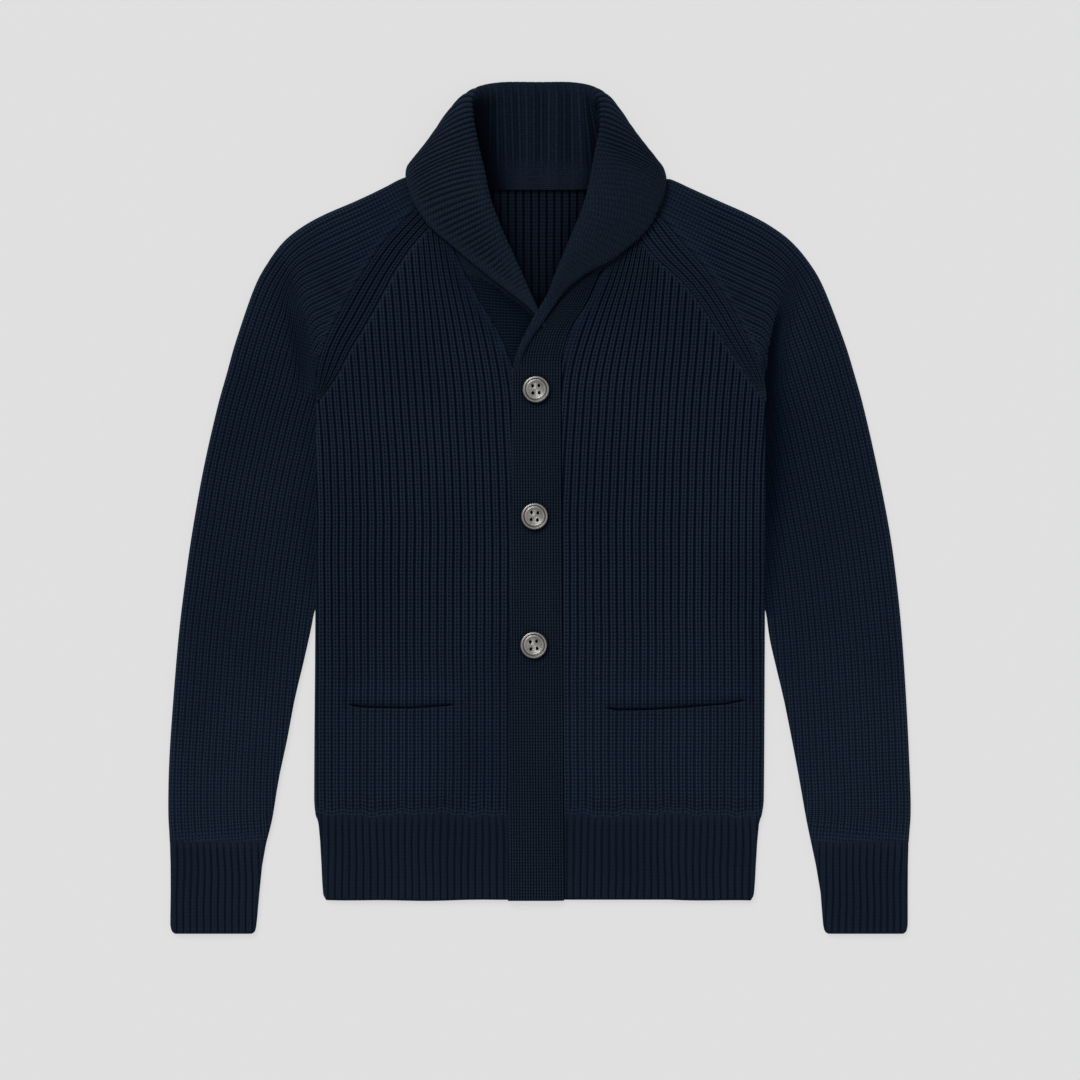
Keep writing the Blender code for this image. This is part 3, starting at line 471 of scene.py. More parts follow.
def button_material():
    """Aged pewter: turned rings, bright worn rim, grime in the low places."""
    g = Nodes("button_metal")
    place = g.node("ShaderNodeTexCoord").outputs["Object"]
    own = g.node("ShaderNodeAttribute", attribute_name="knit")
    parts = g.node("ShaderNodeSeparateXYZ")
    g.put(parts.inputs[0], own.outputs["Vector"])
    radius, worn, low = parts.outputs
    rings = g.wave(g.math("MULTIPLY", radius, 1.9))
    fine = g.noise(place, 1400.0, 3.0, 0.6)
    blot = g.noise(place, 260.0, 3.0, 0.6)
    tone_and_painted_shading = g.math("MULTIPLY_ADD", blot, 0.5, 0.45)
    tone_and_painted_shading = g.math("MULTIPLY_ADD", worn, 0.5, tone_and_painted_shading)
    tone_and_painted_shading = g.math("MULTIPLY", tone_and_painted_shading, g.math("MULTIPLY_ADD", rings, 0.16, 0.88))
    tone_and_painted_shading = g.math("MULTIPLY", tone_and_painted_shading, g.math("MULTIPLY_ADD", low, -0.8, 1.0), clamp=True)
    g.put(g.shader.inputs["Base Color"], g.mix(tone_and_painted_shading, (0.045, 0.042, 0.038, 1), (0.33, 0.32, 0.30, 1)))
    g.shader.inputs["Metallic"].default_value = 0.85
    g.put(g.shader.inputs["Roughness"], g.math("MULTIPLY_ADD", blot, 0.22, 0.27))
    g.put(g.shader.inputs["Normal"], g.bump(g.math("MULTIPLY_ADD", fine, 0.5, rings), 0.00012, 0.5))
    return g.mat


RIB_KNIT = knit_material("rib_knit", (0.0004, 0.0030, 0.0099), (0.0157, 0.0246, 0.0412), 2, 0.16, (0.54, 0.88), 0.97, 0.42, 0.30, 0.05, 0.6, 0.93)
# darker copy of the rib yarn: painted shade for the back seen deep inside the neck
INSIDE_KNIT_PAINTED_SHADE = knit_material("rib_knit_inside_painted_shade", (0.0001, 0.0006, 0.0022), (0.0074, 0.0120, 0.0222), 2, 0.16, (0.45, 0.80), 0.7, 0.40, 0.30, 0.04)
TRIM_KNIT = knit_material("trim_rib", (0.0017, 0.0039, 0.0087), (0.0098, 0.0154, 0.0272), 2, 0.30, (0.35, 1.0), 0.0, 0.18, 0.40, 0.05, 0.35, 0.62, 0.2)
FINE_KNIT = knit_material("fine_knit", (0.0003, 0.0020, 0.0062), (0.0160, 0.0245, 0.0396), 1, 0.50, (0.38, 0.97), 0.0, 0.60, 0.30, 0.05, 0.95, 0.85, 0.25)
COLLAR_KNIT = knit_material("collar_knit", (0.0008, 0.0028, 0.0070), (0.0140, 0.0214, 0.0356), 1, 0.10, (0.40, 1.0), 0.0, 0.42, 0.80, 0.07, 0.2, 0.80, 0.58)
POCKETING = pocketing_material()
THREAD = thread_material()
METAL = button_material()

rib, plain, trim, ridge, fine = (height_of(p) for p in (RIB, RIB_PLAIN, TRIM, RIDGE, FINE))
STITCH = 3.6     # squares from stitch to stitch along a rib


def edge_of(side):
    """Outer edge of a front: body side below the armpit, yoke ribs' edge above."""
    yoke = (YOKE_R, YOKE_L)[side]

    def at(y):
        y = np.asarray(y, float)
        low = follow(BODY_SIDE, 1 + side, y)
        high = follow(yoke, 2, y)
        return np.where(y > 106, high, low)
    return at


# ------------------------------------------------------------------ fronts
LEAN_START = -10.0


def lean_lines(side):
    """Rib lines of a front, marched up from below the chest."""
    sign = -1.0 if side == 0 else 1.0
    numbers = np.arange(-45, 46, 0.5)
    # a little closer together near the side edge
    x0 = np.sign(numbers) * (np.abs(numbers) * 7.78 - 0.6 * np.maximum(np.abs(numbers) - 22, 0))
    heights = np.arange(LEAN_START, 344, 4.0)
    lines = [x0]
    more = 0.17 if side == 0 else 0.26
    for y in heights[:-1]:
        x = lines[-1]
        ax = x * sign
        s = 0.015 + 0.070 * np.clip((y + 20) / 130, 0, 1)
        s = s + more * np.clip((116 - ax) / 55, 0, 1.25) * np.clip((y - 105) / 90, 0, 1.2) * (ax > 0)
        lines.append(x + sign * s * 4.0)
    lines = np.array(lines)

    def number(y, x):
        k = np.clip((y - LEAN_START) / 4.0, 0, len(heights) - 1.001)
        i = np.floor(k).astype(int)
        f = k - i
        out = np.empty_like(x)
        for r in range(x.shape[0]):
            ir, fr = i[r, 0], f[r, 0]
            line = lines[ir] * (1 - fr) + lines[ir + 1] * fr
            line = np.maximum.accumulate(line + np.arange(len(line)) * 1e-6)
            out[r] = np.interp(x[r], line, numbers)
        return out + 0.07 * wander(x, y)
    return number


def pocket_rise(x, y):
    best = np.zeros(np.broadcast(x, y).shape)
    for _, x0, x1, slit, _ in POCKETS:
        ax = smooth(x, x0 - 20, x0 - 5) * (1 - smooth(x, x1 + 5, x1 + 20))
        ay = smooth(y, BAG_LOW - 18, BAG_LOW - 2) * (1 - smooth(y, slit + 9, slit + 26))
        best = np.maximum(best, ax * ay)
    return 2.75 * best


def seam_wave(x, y, level, reach=16.0):
    """Unevenness of a knitted-on seam, dying out away from it."""
    return (1.5 * np.sin(x * 0.052 + 1.0) + 1.1 * np.sin(x * 0.137 + 2.0) + 0.8 * np.sin(x * 0.31)) \
        * np.exp(-((y - level) / reach) ** 2)


def swell(x, y):
    """Slow unevenness of cloth that lies flat, in millimetres."""
    return 0.28 * np.sin(x * 0.031 + y * 0.017 + 0.6) + 0.22 * np.sin(x * 0.017 - y * 0.041 + 2.0)


def build_front(side):
    name = ("front_right", "front_left")[side]
    sign = -1.0 if side == 0 else 1.0
    outer = edge_of(side)
    neck = lambda y: follow(NECKLINE, 1 + side, y) + sign * 0.4
    number = lean_lines(side)
    _, p0, p1, slit, bend = POCKETS[side]
    bend_x, bend_y = np.array([b[0] for b in bend], float), np.array([b[1] for b in bend], float)
    cloth = Cloth(name + "_knit")
    top_y = 291.0 if side == 0 else 274.0

    def part(heights, lower):
        a, b = outer(heights), neck(heights)
        if side == 1:
            a, b = b, a
        b = np.maximum(b, a + 0.02)
        x, u = ribbed(heights, a, b, number, RIB)
        y = heights[:, None] + 0 * x
        # the rows bend to follow the pocket slit
        inside = smooth(x, p0 - 1.5, p0 + 4) * (1 - smooth(x, p1 - 4, p1 + 1.5))
        dy = np.interp(x, bend_x, bend_y)
        y = y + dy * np.exp(-((y - slit) / 22.0) ** 2)
        centre = slit + dy
        away = (y - centre) * (-1 if lower else 1)
        gap = 0.012 + 0.60 * inside
        y = y + np.where(lower, -gap, gap) * np.exp(-(away / 3.0) ** 2)
        out = np.where(sign < 0, x - outer(heights)[:, None], outer(heights)[:, None] - x)
        inn = np.where(sign < 0, neck(heights)[:, None] - x, x - neck(heights)[:, None])
        yoke = smooth(heights, 104, 116)[:, None]
        w = 1 - (1 - smooth(out, 0.5, 5.0)) * yoke
        w = w * (1 - smooth(y, 132, 165) * (1 - smooth(inn, 0.5, 13.0)) * 0.9)
        w = w * (0.35 + 0.65 * smooth(heights - (-307), 0, 9))[:, None] * (1 - 0.24 * smooth(-y, 60, 230))
        crest = 3.75 - 0.5 * (1 - w)
        z = crest - 2.35 * w * (1 - rib(u)) - 0.9 * (1 - w)
        low = 3.66 + pocket_rise(x, y) + np.maximum(swell(x, y), 0) * 0.6
        # body sides are rolled edges; the other edges only dip
        side_roll = round_edge(out, 5.5)
        z = z * np.where(yoke < 0.5, 0.04 + 0.96 * side_roll, 0.45 + 0.55 * smooth(out, 0, 4))
        low = np.where(yoke < 0.5, 3.45 + (low - 3.45) * side_roll, low)
        z = z * (0.76 + 0.24 * smooth(inn, 0, 5))
        if side == 0:
            z = np.minimum(z, 6.75 - low + 3.0 * smooth(inn, 7, 13))
        hem = smooth(heights - (-307), 0, 5)[:, None]
        z = z * (0.80 + 0.20 * hem)
        lip = inside * np.exp(-((away - 1.6) / 1.5) ** 2)
        roll = inside * (1 - round_edge(away, 2.2))
        z = z + (0.55 if lower else 0.1) * lip - roll * z * 0.75
        low = low + roll * 0.4
        # painted shade above the pocket slit, painted highlight on the lip below it
        shade = 1 - (0.05 if lower else 0.52) * inside * np.exp(-(away / 5.5) ** 2)
        shade = shade * (1 + (0.16 if lower else 0.0) * inside * np.exp(-((away - 3.0) / 2.0) ** 2))
        # painted shade: a faint dark line along the bag's side edge above the slit
        bag_x = p0 - 3.5 if side == 0 else p1 + 6.5
        reach = 84 if side == 0 else 140
        shade = shade * (1 - 0.36 * np.exp(-((x - bag_x - 1.2 * np.sin(y * 0.07)) / 2.2) ** 2)
                         * smooth(y, slit - 6, slit + 6) * (1 - smooth(y, slit + reach * 0.5, slit + reach)))
        # painted shade near the neckline, below the collar
        shade = 0.97 * shade * (1 - 0.42 * np.exp(-(inn / 16.0) ** 2) * smooth(y, 120, 175))
        # painted highlight along the body's side edge on the wearer's right
        if side == 0:
            shade = shade * (1 + 0.30 * np.exp(-(out / 5.0) ** 2) * smooth(y, -130, -60) * (1 - yoke))
        shade = shade * (1 + 0.06 * wander(x * 0.6, y * 0.6, 9.0))
        coords = np.stack([u, y / STITCH, np.clip(w, 0, 1), shade], -1)
        y = y + seam_wave(x, y, -307)
        cloth.slab(xyz(x, y, low + z), xyz(x, y, low), coords, cstep=len(RIB))

    below = np.concatenate([np.arange(-307, slit - 14, 4.0), slit - np.array([12, 9, 7, 5, 3.8, 2.8, 2, 1.4, .9, .4, 0])])
    above = np.concatenate([slit + np.array([0, .4, .9, 1.4, 2, 2.8, 4, 6, 9]), np.arange(slit + 12, 104, 4.0),
                            np.arange(104, top_y, 3.0), [top_y]])
    part(below, True)
    part(above, False)
    yoke_strip(cloth, side, 0.0, 4.0) if side == 0 else yoke_strip(cloth, side, 2.0, 4.0)
    obj = cloth.make(RIB_KNIT)
    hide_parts(name)
    return obj


def yoke_strip(cloth, side, first, last):
    """Ribs that run along the raglan seam, numbered from the sleeve inwards."""
    table = (YOKE_R, YOKE_L)[side]
    heights = np.arange(106, 334.1, 3.0)
    a, b = follow(table, 1, heights), follow(table, 2, heights)
    tees = np.array([p[0] for p in RIB])
    u = np.concatenate([(np.arange(first, last)[:, None] + tees).ravel(), [last]])
    f = u / 4.0
    x = a[:, None] + (b - a)[:, None] * f
    y = heights[:, None] + 0 * x
    u = u[None, :] + 0 * x
    w = np.ones_like(x) * smooth(np.abs(b - a), 2, 16)[:, None]
    z = 3.75 - 2.2 * w * (1 - rib(u)) - 0.5 * (1 - w)
    z = z * (0.85 + 0.15 * smooth(heights, 106, 118)[:, None])
    low = 3.66 + 0 * x
    line = np.stack([(a + b) / 2, heights], -1)
    along = np.concatenate([[0], np.cumsum(np.hypot(*np.diff(line, axis=0).T))])[:, None] + 0 * x
    # painted shade: the strip on the wearer's right is darker
    coords = np.stack([u, along / STITCH, w * 0.9, (0.75 if side == 0 else 0.89) + 0 * w], -1)
    cloth.slab(xyz(x, y, low + z), xyz(x, y, low), coords, cstep=len(RIB))


# -------------------------------------------------------------------- back
def build_back():
    heights = np.concatenate([np.arange(-307, 104, 7.0), np.arange(104, 320.4, 5.0), [320.4]])

    def edge(side):
        low, high = follow(BODY_SIDE, 1 + side, heights), follow(RAGLAN, 1 + side, heights)
        return np.where(heights > 112, high, low)

    a, b = edge(0), edge(1)
    number = lambda y, x: x / 7.7 + 0.07 * wander(x, y, 3.0)
    x, u = ribbed(heights, a, b, number, RIB_PLAIN)
    y = heights[:, None] + 0 * x
    out = np.minimum(x - a[:, None], b[:, None] - x)
    fold = (heights <= 112)[:, None]
    roll = round_edge(out, 5.0)
    top = 3.2 - 1.7 * (1 - plain(u))
    low = 1.35 * (1 - plain(u + 0.5))
    low = np.where(fold, 3.15 + (low - 3.15) * roll, low)
    top = np.where(fold, 3.25 + (top - 3.25) * roll, top)
    top = np.maximum(top, low + 0.06)
    cloth = Cloth("back_knit")
    # painted shade beside the collar's sides, inside the neck
    side_r, _ = to_line(x, y, np.array([r[2:4] for r in COLLAR_R[5:13]], float))
    side_l, _ = to_line(x, y, np.array([r[2:4] for r in COLLAR_L[5:13]], float))
    shade = 1 - 0.62 * np.exp(-(side_r / 17.0) ** 2) - 0.35 * np.exp(-(side_l / 10.0) ** 2)
    shade = np.where(y > 150, np.clip(shade, 0.2, 1), 1.0)
    coords = np.stack([u, y / STITCH, 1 + 0 * u, shade], -1)
    under = coords + np.array([0.5, 0, 0, 0])
    cloth.slab(xyz(x, y, top), xyz(x, y, low), coords, under, rstep=1, cstep=1)
    obj = cloth.make(INSIDE_KNIT_PAINTED_SHADE)
    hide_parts("back")
    return obj


# -------------------------------------------------------------------- hems
def build_hem(name, side):
    """Narrow rib below the body.  side 0 right front, 1 left front, 2 back."""
    heights = np.array([-307, -309, -312, -316, -321, -327, -334, -342, -350, -358, -366, -374, -381, -385.5,
                        -388, -389.8, -391, -391.7, -392])[::-1]
    left, right = follow(BODY_SIDE, 1, heights), follow(BODY_SIDE, 2, heights)
    a = left if side != 1 else follow(NECKLINE, 2, heights) + 0.4
    b = right if side != 0 else follow(NECKLINE, 1, heights) - 0.4
    number = lambda y, x: x / 7.02 + 0.13 * wander(x * 2.2, y * 1.2, 1.0) + 0.05 * np.sin(x * 0.9 + y * 0.03)
    x, u = ribbed(heights, a, b, number, TRIM)
    y = heights[:, None] + 0 * x
    wave = 0.9 * np.sin(x * 0.018 + 0.8) + 0.35 * np.sin(x * 0.071) if side != 2 else 0 * x
    y = y + wave * smooth(-y, 330, 392) + (seam_wave(x, y, -307) if side != 2 else 0)
    ends = round_edge(heights + 392, 3.2)[:, None]
    w = (0.55 + 0.45 * smooth(-307 - heights, 0, 10))[:, None] + 0 * x
    if side == 2:
        out = np.minimum(x - a[:, None], b[:, None] - x)
        roll = round_edge(out, 5.0) * (0.15 + 0.85 * ends)
        low = 3.15 + (1.1 * w * (1 - trim(u + 0.5)) - 3.15) * roll
        top = 3.25 + (3.2 - 1.1 * w * (1 - trim(u)) - 3.25) * roll
        coords = np.stack([u, y / STITCH, w], -1)
    else:
        out = x - a[:, None] if side == 0 else b[:, None] - x
        inn = b[:, None] - x if side == 0 else x - a[:, None]
        roll = round_edge(out, 5.0)
        low = 3.45 + 0.2 * roll
        z = (3.6 - 1.25 * w * (1 - trim(u))) * (0.04 + 0.96 * roll) * (0.25 + 0.75 * ends)
        z = z * (0.62 + 0.38 * smooth(inn, 0, 5)) * (0.84 + 0.16 * smooth(-307 - heights, 0, 5))[:, None]
        if side == 0:
            z = np.minimum(z, 6.7 - low + 3.0 * smooth(inn, 7, 13))
        top = low + z
        # painted shade, darker towards the body above
        coords = np.stack([u, y / STITCH, w, 0.92 + 0.08 * smooth(-y, 340, 392)], -1)
    cloth = Cloth(name + "_knit")
    step = 1 if side == 2 else len(TRIM)
    under = coords + np.array([0.5, 0, 0]) if side == 2 else None
    cloth.slab(xyz(x, y, top), xyz(x, y, low), coords, under, rstep=1 if side == 2 else 3, cstep=step)
    obj = cloth.make(TRIM_KNIT)
    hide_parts(name)
    return obj


# ----------------------------------------------------------------- sleeves
def ridge_line(x, y, points, width, side_width=None):
    """1 along a polyline, fading with distance and towards both its ends."""
    line = np.array(points, float)
    d, s = to_line(x, y, line)
    total = np.hypot(*np.diff(line, axis=0).T).sum()
    ends = smooth(s, 0, total * 0.3) * (1 - smooth(s, total * 0.7, total))
    return np.exp(-(d / width) ** 2) * np.maximum(ends, 0.0)


SLEEVE_MARKS = {
    # side: list of (points, width, height in mm), ridges above and troughs below zero
    0: [([(-250, 234), (-244, 218), (-240, 203), (-234, 188), (-231, 173), (-229, 156), (-226, 130)], 5, -2.2),
        ([(-268, 232), (-258, 205), (-251, 175), (-246, 145), (-243, 100)], 11, 1.7),
        ([(-218, 226), (-226, 205), (-224, 180)], 11, 1.0),
        ([(-296, 60), (-290, 10), (-292, -50), (-298, -110)], 16, 0.7),
        ([(-330, -40), (-338, -110), (-345, -180)], 12, 0.5),
        ([(-286, -215), (-306, -250), (-330, -275)], 12, -0.6)],
    1: [([(251, 226), (248, 208), (246, 190), (243, 172), (238, 150), (233, 128), (231, 100), (230, 60)], 8, -2.6),
        ([(282, 232), (273, 205), (266, 172), (263, 130), (262, 80)], 14, 1.9),
        ([(214, 232), (228, 208), (230, 180)], 11, 1.3),
        ([(300, 60), (296, 10), (300, -50), (306, -110)], 15, 0.7),
        ([(336, -40), (344, -110), (350, -180)], 12, 0.5),
        ([(290, -205), (312, -240), (336, -262)], 12, -0.6)],
}


def sleeve_lift(x, y, side):
    total = 0.35 * np.sin(x * 0.05 + y * 0.021) + 0.0 * y
    for points, width, high in SLEEVE_MARKS[side]:
        total = total + high * ridge_line(x, y, points, width)
    return total


def sleeve_ribs(side, line):
    """Rib numbers all over a sleeve, counted inwards from its outer edge.

    Along the arm and near the shoulder edge the ribs follow the edge; deeper
    in the shoulder they run straight on and turn down where the arm folds."""
    bend = np.argmin(np.hypot(np.abs(line[:, 0]) - 249, line[:, 1] - 273))
    start = np.concatenate([[0], np.cumsum(np.hypot(*np.diff(line, axis=0).T))])[bend]

    def number(x, y):
        d, s = to_line(x, y, line)
        pitch = 7.45 - 0.85 * smooth(s - start, -10, 90)
        level = (330 - (np.abs(x) - 128.5) * 0.455 - y) * 0.910
        inward = (np.abs(follow(FOLD, 1 + side, y)) - np.abs(x)) * 0.93
        straight = smooth(d, 8, 42) * smooth(inward, -20, 12) * smooth(y, 112, 150)
        return d / pitch * (1 - straight) + level / 7.45 * straight + 0.06 * wander(x, y, 5.0), d, s, inward
    return number


def build_sleeve(side):
    name = ("sleeve_right", "sleeve_left")[side]
    sign = -1.0 if side == 0 else 1.0
    out_line = dense((SLEEVE_R, SLEEVE_L)[side], 8)
    out_line = out_line[np.concatenate([[True], np.hypot(*np.diff(out_line, axis=0).T) > 1e-6])]
    # the shoulder part runs on under the collar
    shoulder = np.vstack([[sign * 60, 352], out_line[out_line[:, 1] < 334.9][:]])
    upper = shoulder[(shoulder[:, 1] > 205) & (np.abs(shoulder[:, 0]) > 131) | (np.abs(shoulder[:, 0]) < 61)]
    arm = out_line[(out_line[:, 1] < 275) & (np.abs(out_line[:, 0]) > 150)]
    arm = np.vstack([arm, [[arm[-1, 0] - sign * 1.0, -345]]])
    whole = np.vstack([upper, arm[arm[:, 1] < 205]])
    ribs = sleeve_ribs(side, whole)
    yoke = (YOKE_R, YOKE_L)[side]
    cloth = Cloth(name + "_knit")
    h = out_line[:, 1]
    tail = out_line[np.abs(out_line[:, 0]) > 131]

    def finish(x, y, u, s, out, inn, w, lifted=1.0):
        lift = sleeve_lift(x, y, side) * lifted
        low = 3.66 + np.maximum(lift, 0) * 0.8
        z = 3.75 - 2.2 * w * (1 - rib(u)) - 0.75 * (1 - w) + np.where(lift > 0, lift * 0.2, lift)
        z = np.maximum(z, 0.35)
        roll = round_edge(out, 6.5)
        z = z * (0.03 + 0.97 * roll)
        low = 3.42 + (low - 3.42) * roll
        z = z * inn
        return low, z

    # lower part: rows across the arm, from the outer edge to the fold or body
    heights = np.concatenate([[-334.2], np.arange(-332, 100, 5.0), np.arange(102, 262, 2.5), [262]])
    a = np.interp(heights, tail[::-1, 1], tail[::-1, 0])
    body = np.where(heights < 112, follow(SLEEVE_INNER, 1 + side, heights), 0)
    b = np.where(heights < 112, body, follow(FOLD, 1 + side, heights))
    b = b - sign * 1.8 * smooth(heights, -106, -100)
    if side == 0:
        b = np.maximum(b, a + 0.02)
    else:
        b = np.minimum(b, a - 0.02)

    x, u = ribbed(heights, a, b, lambda y, x: ribs(x, y)[0], RIB)
    y = heights[:, None] + 0 * x
    _, d, s, inward = ribs(x, y)
    near = (b[:, None] - x) * (-sign)
    free = smooth(-heights, 95, 125)[:, None]
    fold_w = smooth(heights, 108, 122)[:, None]
    inn = np.where(free > 0.5, 0.03 + 0.97 * round_edge(near, 6.0),
                   0.30 + 0.70 * smooth(near, 0, 7.0))
    inn = np.where(fold_w > 0, 0.55 + 0.45 * smooth(near, 0, 4.0) * fold_w + (1 - fold_w) * (inn - 0.55), inn)
    upper_w = smooth(heights, 205, 238)[:, None]
    w = 1 - 0.80 * fold_w * (1 - smooth(near, 4, 20)) * (1 - upper_w)
    w = w * (0.5 + 0.5 * smooth(heights + 333, 0, 10)[:, None]) * (0.74 - 0.08 * smooth(-y, -100, 250))
    # the folded arm lies in the shade of the body and of the shoulder
    if side == 0:
        deep = np.interp(heights, [-105, -60, 100, 120, 150, 190, 215, 235], [0, .20, .20, .30, .38, .42, .28, .1])[:, None]
        reach = np.interp(heights, [-105, 100, 120, 160, 200], [10, 18, 18, 24, 26])[:, None]
    else:
        deep = np.interp(heights, [-112, -105, -72, -32, 8, 88, 118, 143, 163, 183, 205, 235],
                         [0, .5, .62, .68, .80, .85, .90, .95, .95, .88, .52, .1])[:, None]
        reach = np.interp(heights, [-105, -72, -32, 8, 48, 88, 118, 143, 163, 183],
                          [7, 11, 16, 23, 25, 25, 21, 17, 14, 12])[:, None]
    shade = 1 - deep * np.exp(-(np.maximum(near - 1.5, 0) / reach) ** 2)
    shade = shade * (0.80 + 0.18 * smooth(-y, 60, 260))
    low, z = finish(x, y, u, s, d, inn, w)
    z = z * (0.84 + 0.16 * smooth(heights + 333, 0, 5))[:, None]
    # painted highlight along the sleeve's outer edge
    coords = np.stack([u, s / STITCH, np.clip(w, 0, 1), shade * (1 + 0.12 * np.exp(-(d / 9.0) ** 2))], -1)
    cloth.slab(xyz(x, y, low + z), xyz(x, y, low), coords, cstep=len(RIB))

    # shoulder: rows run down from the shoulder edge to the yoke ribs or the fold
    across = np.concatenate([np.arange(104.0, 224, 3.0), np.arange(224, 267.6, 2.0)]) * sign
    ys = np.interp(np.abs(across), np.abs(np.concatenate([[sign * 100], tail[:60, 0]])),
                   np.concatenate([[337.5], tail[:60, 1]]))
    ys = np.array([np.interp(abs(v), np.abs(tail[:, 0])[np.abs(tail[:, 0]) <= 300][:200], tail[:, 1][np.abs(tail[:, 0]) <= 300][:200])
                   for v in across])
    fine_h = np.linspace(106, 334, 400)
    yoke_x = np.abs(follow(yoke, 1, fine_h))
    fold_h = np.linspace(112, 262, 300)
    fold_x = np.abs(follow(FOLD, 1 + side, fold_h))
    ye = np.where(np.abs(across) < yoke_x[0], np.interp(np.abs(across), yoke_x[::-1], fine_h[::-1]),
                  np.interp(np.abs(across), fold_x, fold_h))
    ye = np.minimum(ye - 1.2, ys - 0.02)

    y, u = ribbed(across, ys, ye, lambda xx, yy: ribs(xx, yy)[0], RIB)
    x = across[:, None] + 0 * y
    _, d, s, inward = ribs(x, y)
    near = y - ye[:, None]
    at_yoke = (np.abs(across) < yoke_x[0])[:, None]
    slope = np.where(at_yoke, 0.62, 0.5)
    inn = 0.42 + 0.58 * smooth(near * slope, 0, 4.0)
    w = np.where(at_yoke, smooth(near * slope, 1.5, 11.0), 1.0) * (0.64 if side == 0 else 0.76) * (0.42 + 0.58 * smooth(np.abs(x), 132, 186))
    low, z = finish(x, y, u, s, d, inn, w)
    # painted shade along the yoke ribs and towards the collar, painted highlight along the outer edge
    shade = 0.95 - 0.30 * np.exp(-(near * slope / 2.5) ** 2) * at_yoke + 0.15 * np.exp(-(d / 9.0) ** 2)
    shade = shade * (0.92 - (0.26 if side == 0 else 0.21) * (1 - smooth(np.abs(x), 138, 205)))
    shade = shade * (1 + 0.10 * wander(x * 1.9, y * 1.9, 3.0) * (1 - smooth(np.abs(x), 150, 200)))
    coords = np.stack([u, s / STITCH, w, shade], -1)
    cloth.slab(xyz(x, y, low + z), xyz(x, y, low), coords, cstep=len(RIB))
    if side == 1:
        yoke_strip(cloth, side, 0.0, 2.0)

    # underside, one panel
    heights = np.concatenate([[-334.2], np.arange(-330, 100, 9.0), np.arange(102, 328, 4.0)])
    a = np.interp(heights, tail[::-1, 1], tail[::-1, 0])
    b = np.where(heights < 112, follow(SLEEVE_INNER, 1 + side, heights), follow(RAGLAN, 1 + side, heights) + sign * 0.6)
    b = b - sign * 2.0 * smooth(heights, -106, -100)
    if side == 0:
        b = np.maximum(b, a + 0.02)
    else:
        b = np.minimum(b, a - 0.02)

    def number_low(y, x):
        d, s = to_line(x, y, whole)
        return d / 7.0

    x, u = ribbed(heights, a, b, number_low, RIB_PLAIN)
    y = heights[:, None] + 0 * x
    d, s = to_line(x, y, whole)
    near = (b[:, None] - x) * (-sign)
    inn = np.where((heights < 112)[:, None], round_edge(near, 5.0), 1.0)
    roll = round_edge(d, 6.0) * inn
    low = 3.3 + (1.6 * (1 - plain(u)) - 3.3) * roll
    top = 3.38 + 0 * low - 0.1 * (1 - roll)
    top = np.maximum(top, low + 0.05)
    coords = np.stack([u, s / STITCH, 1 + 0 * u], -1)
    cloth.slab(xyz(x, y, low), xyz(x, y, top), coords, rstep=2, cstep=len(RIB_PLAIN))
    obj = cloth.make(RIB_KNIT)
    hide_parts(name)
    return obj


def build_cuff(side):
    name = ("cuff_right", "cuff_left")[side]
    sign = -1.0 if side == 0 else 1.0
    heights = np.array([-332.6, -335, -338, -343, -350, -358, -367, -376, -385, -394, -403, -411, -417, -420.5,
                        -422.8, -424.4, -425.4, -426])[::-1]
    a = follow(CUFF_OUT, 1 + side, heights)
    b = follow(SLEEVE_INNER, 1 + side, heights)
    cloth = Cloth(name + "_knit")
    ref = np.interp(np.maximum(heights, -404), heights, a)
    number = lambda y, x: (x - np.interp(y, heights, ref)) * (-sign) / 6.85 + 0.13 * wander(x * 2.2, y * 1.2, 2.0) \
        + 0.05 * np.sin(x * 0.9 + y * 0.03)
    ends = round_edge(heights + 426, 3.0)[:, None]
    for under in (False, True):
        x, u = ribbed(heights, a, b, number, TRIM)
        y = heights[:, None] + 0 * x
        out, near = np.abs(x - a[:, None]), np.abs(b[:, None] - x)
        roll = round_edge(out, 5.5) * round_edge(near, 5.5)
        w = (0.5 + 0.5 * smooth(-333 - heights, 0, 8))[:, None] + 0 * x
        dip = (0.84 + 0.16 * smooth(-333 - heights, 0, 5))[:, None]
        coords = np.stack([u, y / STITCH, w], -1)
        if under:
            z = (3.1 - 1.4 * w * (1 - trim(u))) * roll * (0.2 + 0.8 * ends)
            low = 3.3 - z
            cloth.slab(xyz(x, y, low), xyz(x, y, 3.34 + 0 * low), coords, cstep=len(TRIM))
        else:
            open_up = 0.7 * smooth(-410 - y, 0, 16) * round_edge(out, 30) * round_edge(near, 30)
            z = (3.6 - 1.25 * w * (1 - trim(u))) * (0.03 + 0.97 * roll) * (0.25 + 0.75 * ends) * dip
            low = 3.42 + 0.22 * roll + open_up
            cloth.slab(xyz(x, y, low + z), xyz(x, y, low), coords, cstep=len(TRIM))
    obj = cloth.make(TRIM_KNIT)
    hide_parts(name)
    return obj


# ------------------------------------------------------------------ collar
STAND_N, FALL_N = 26, 34


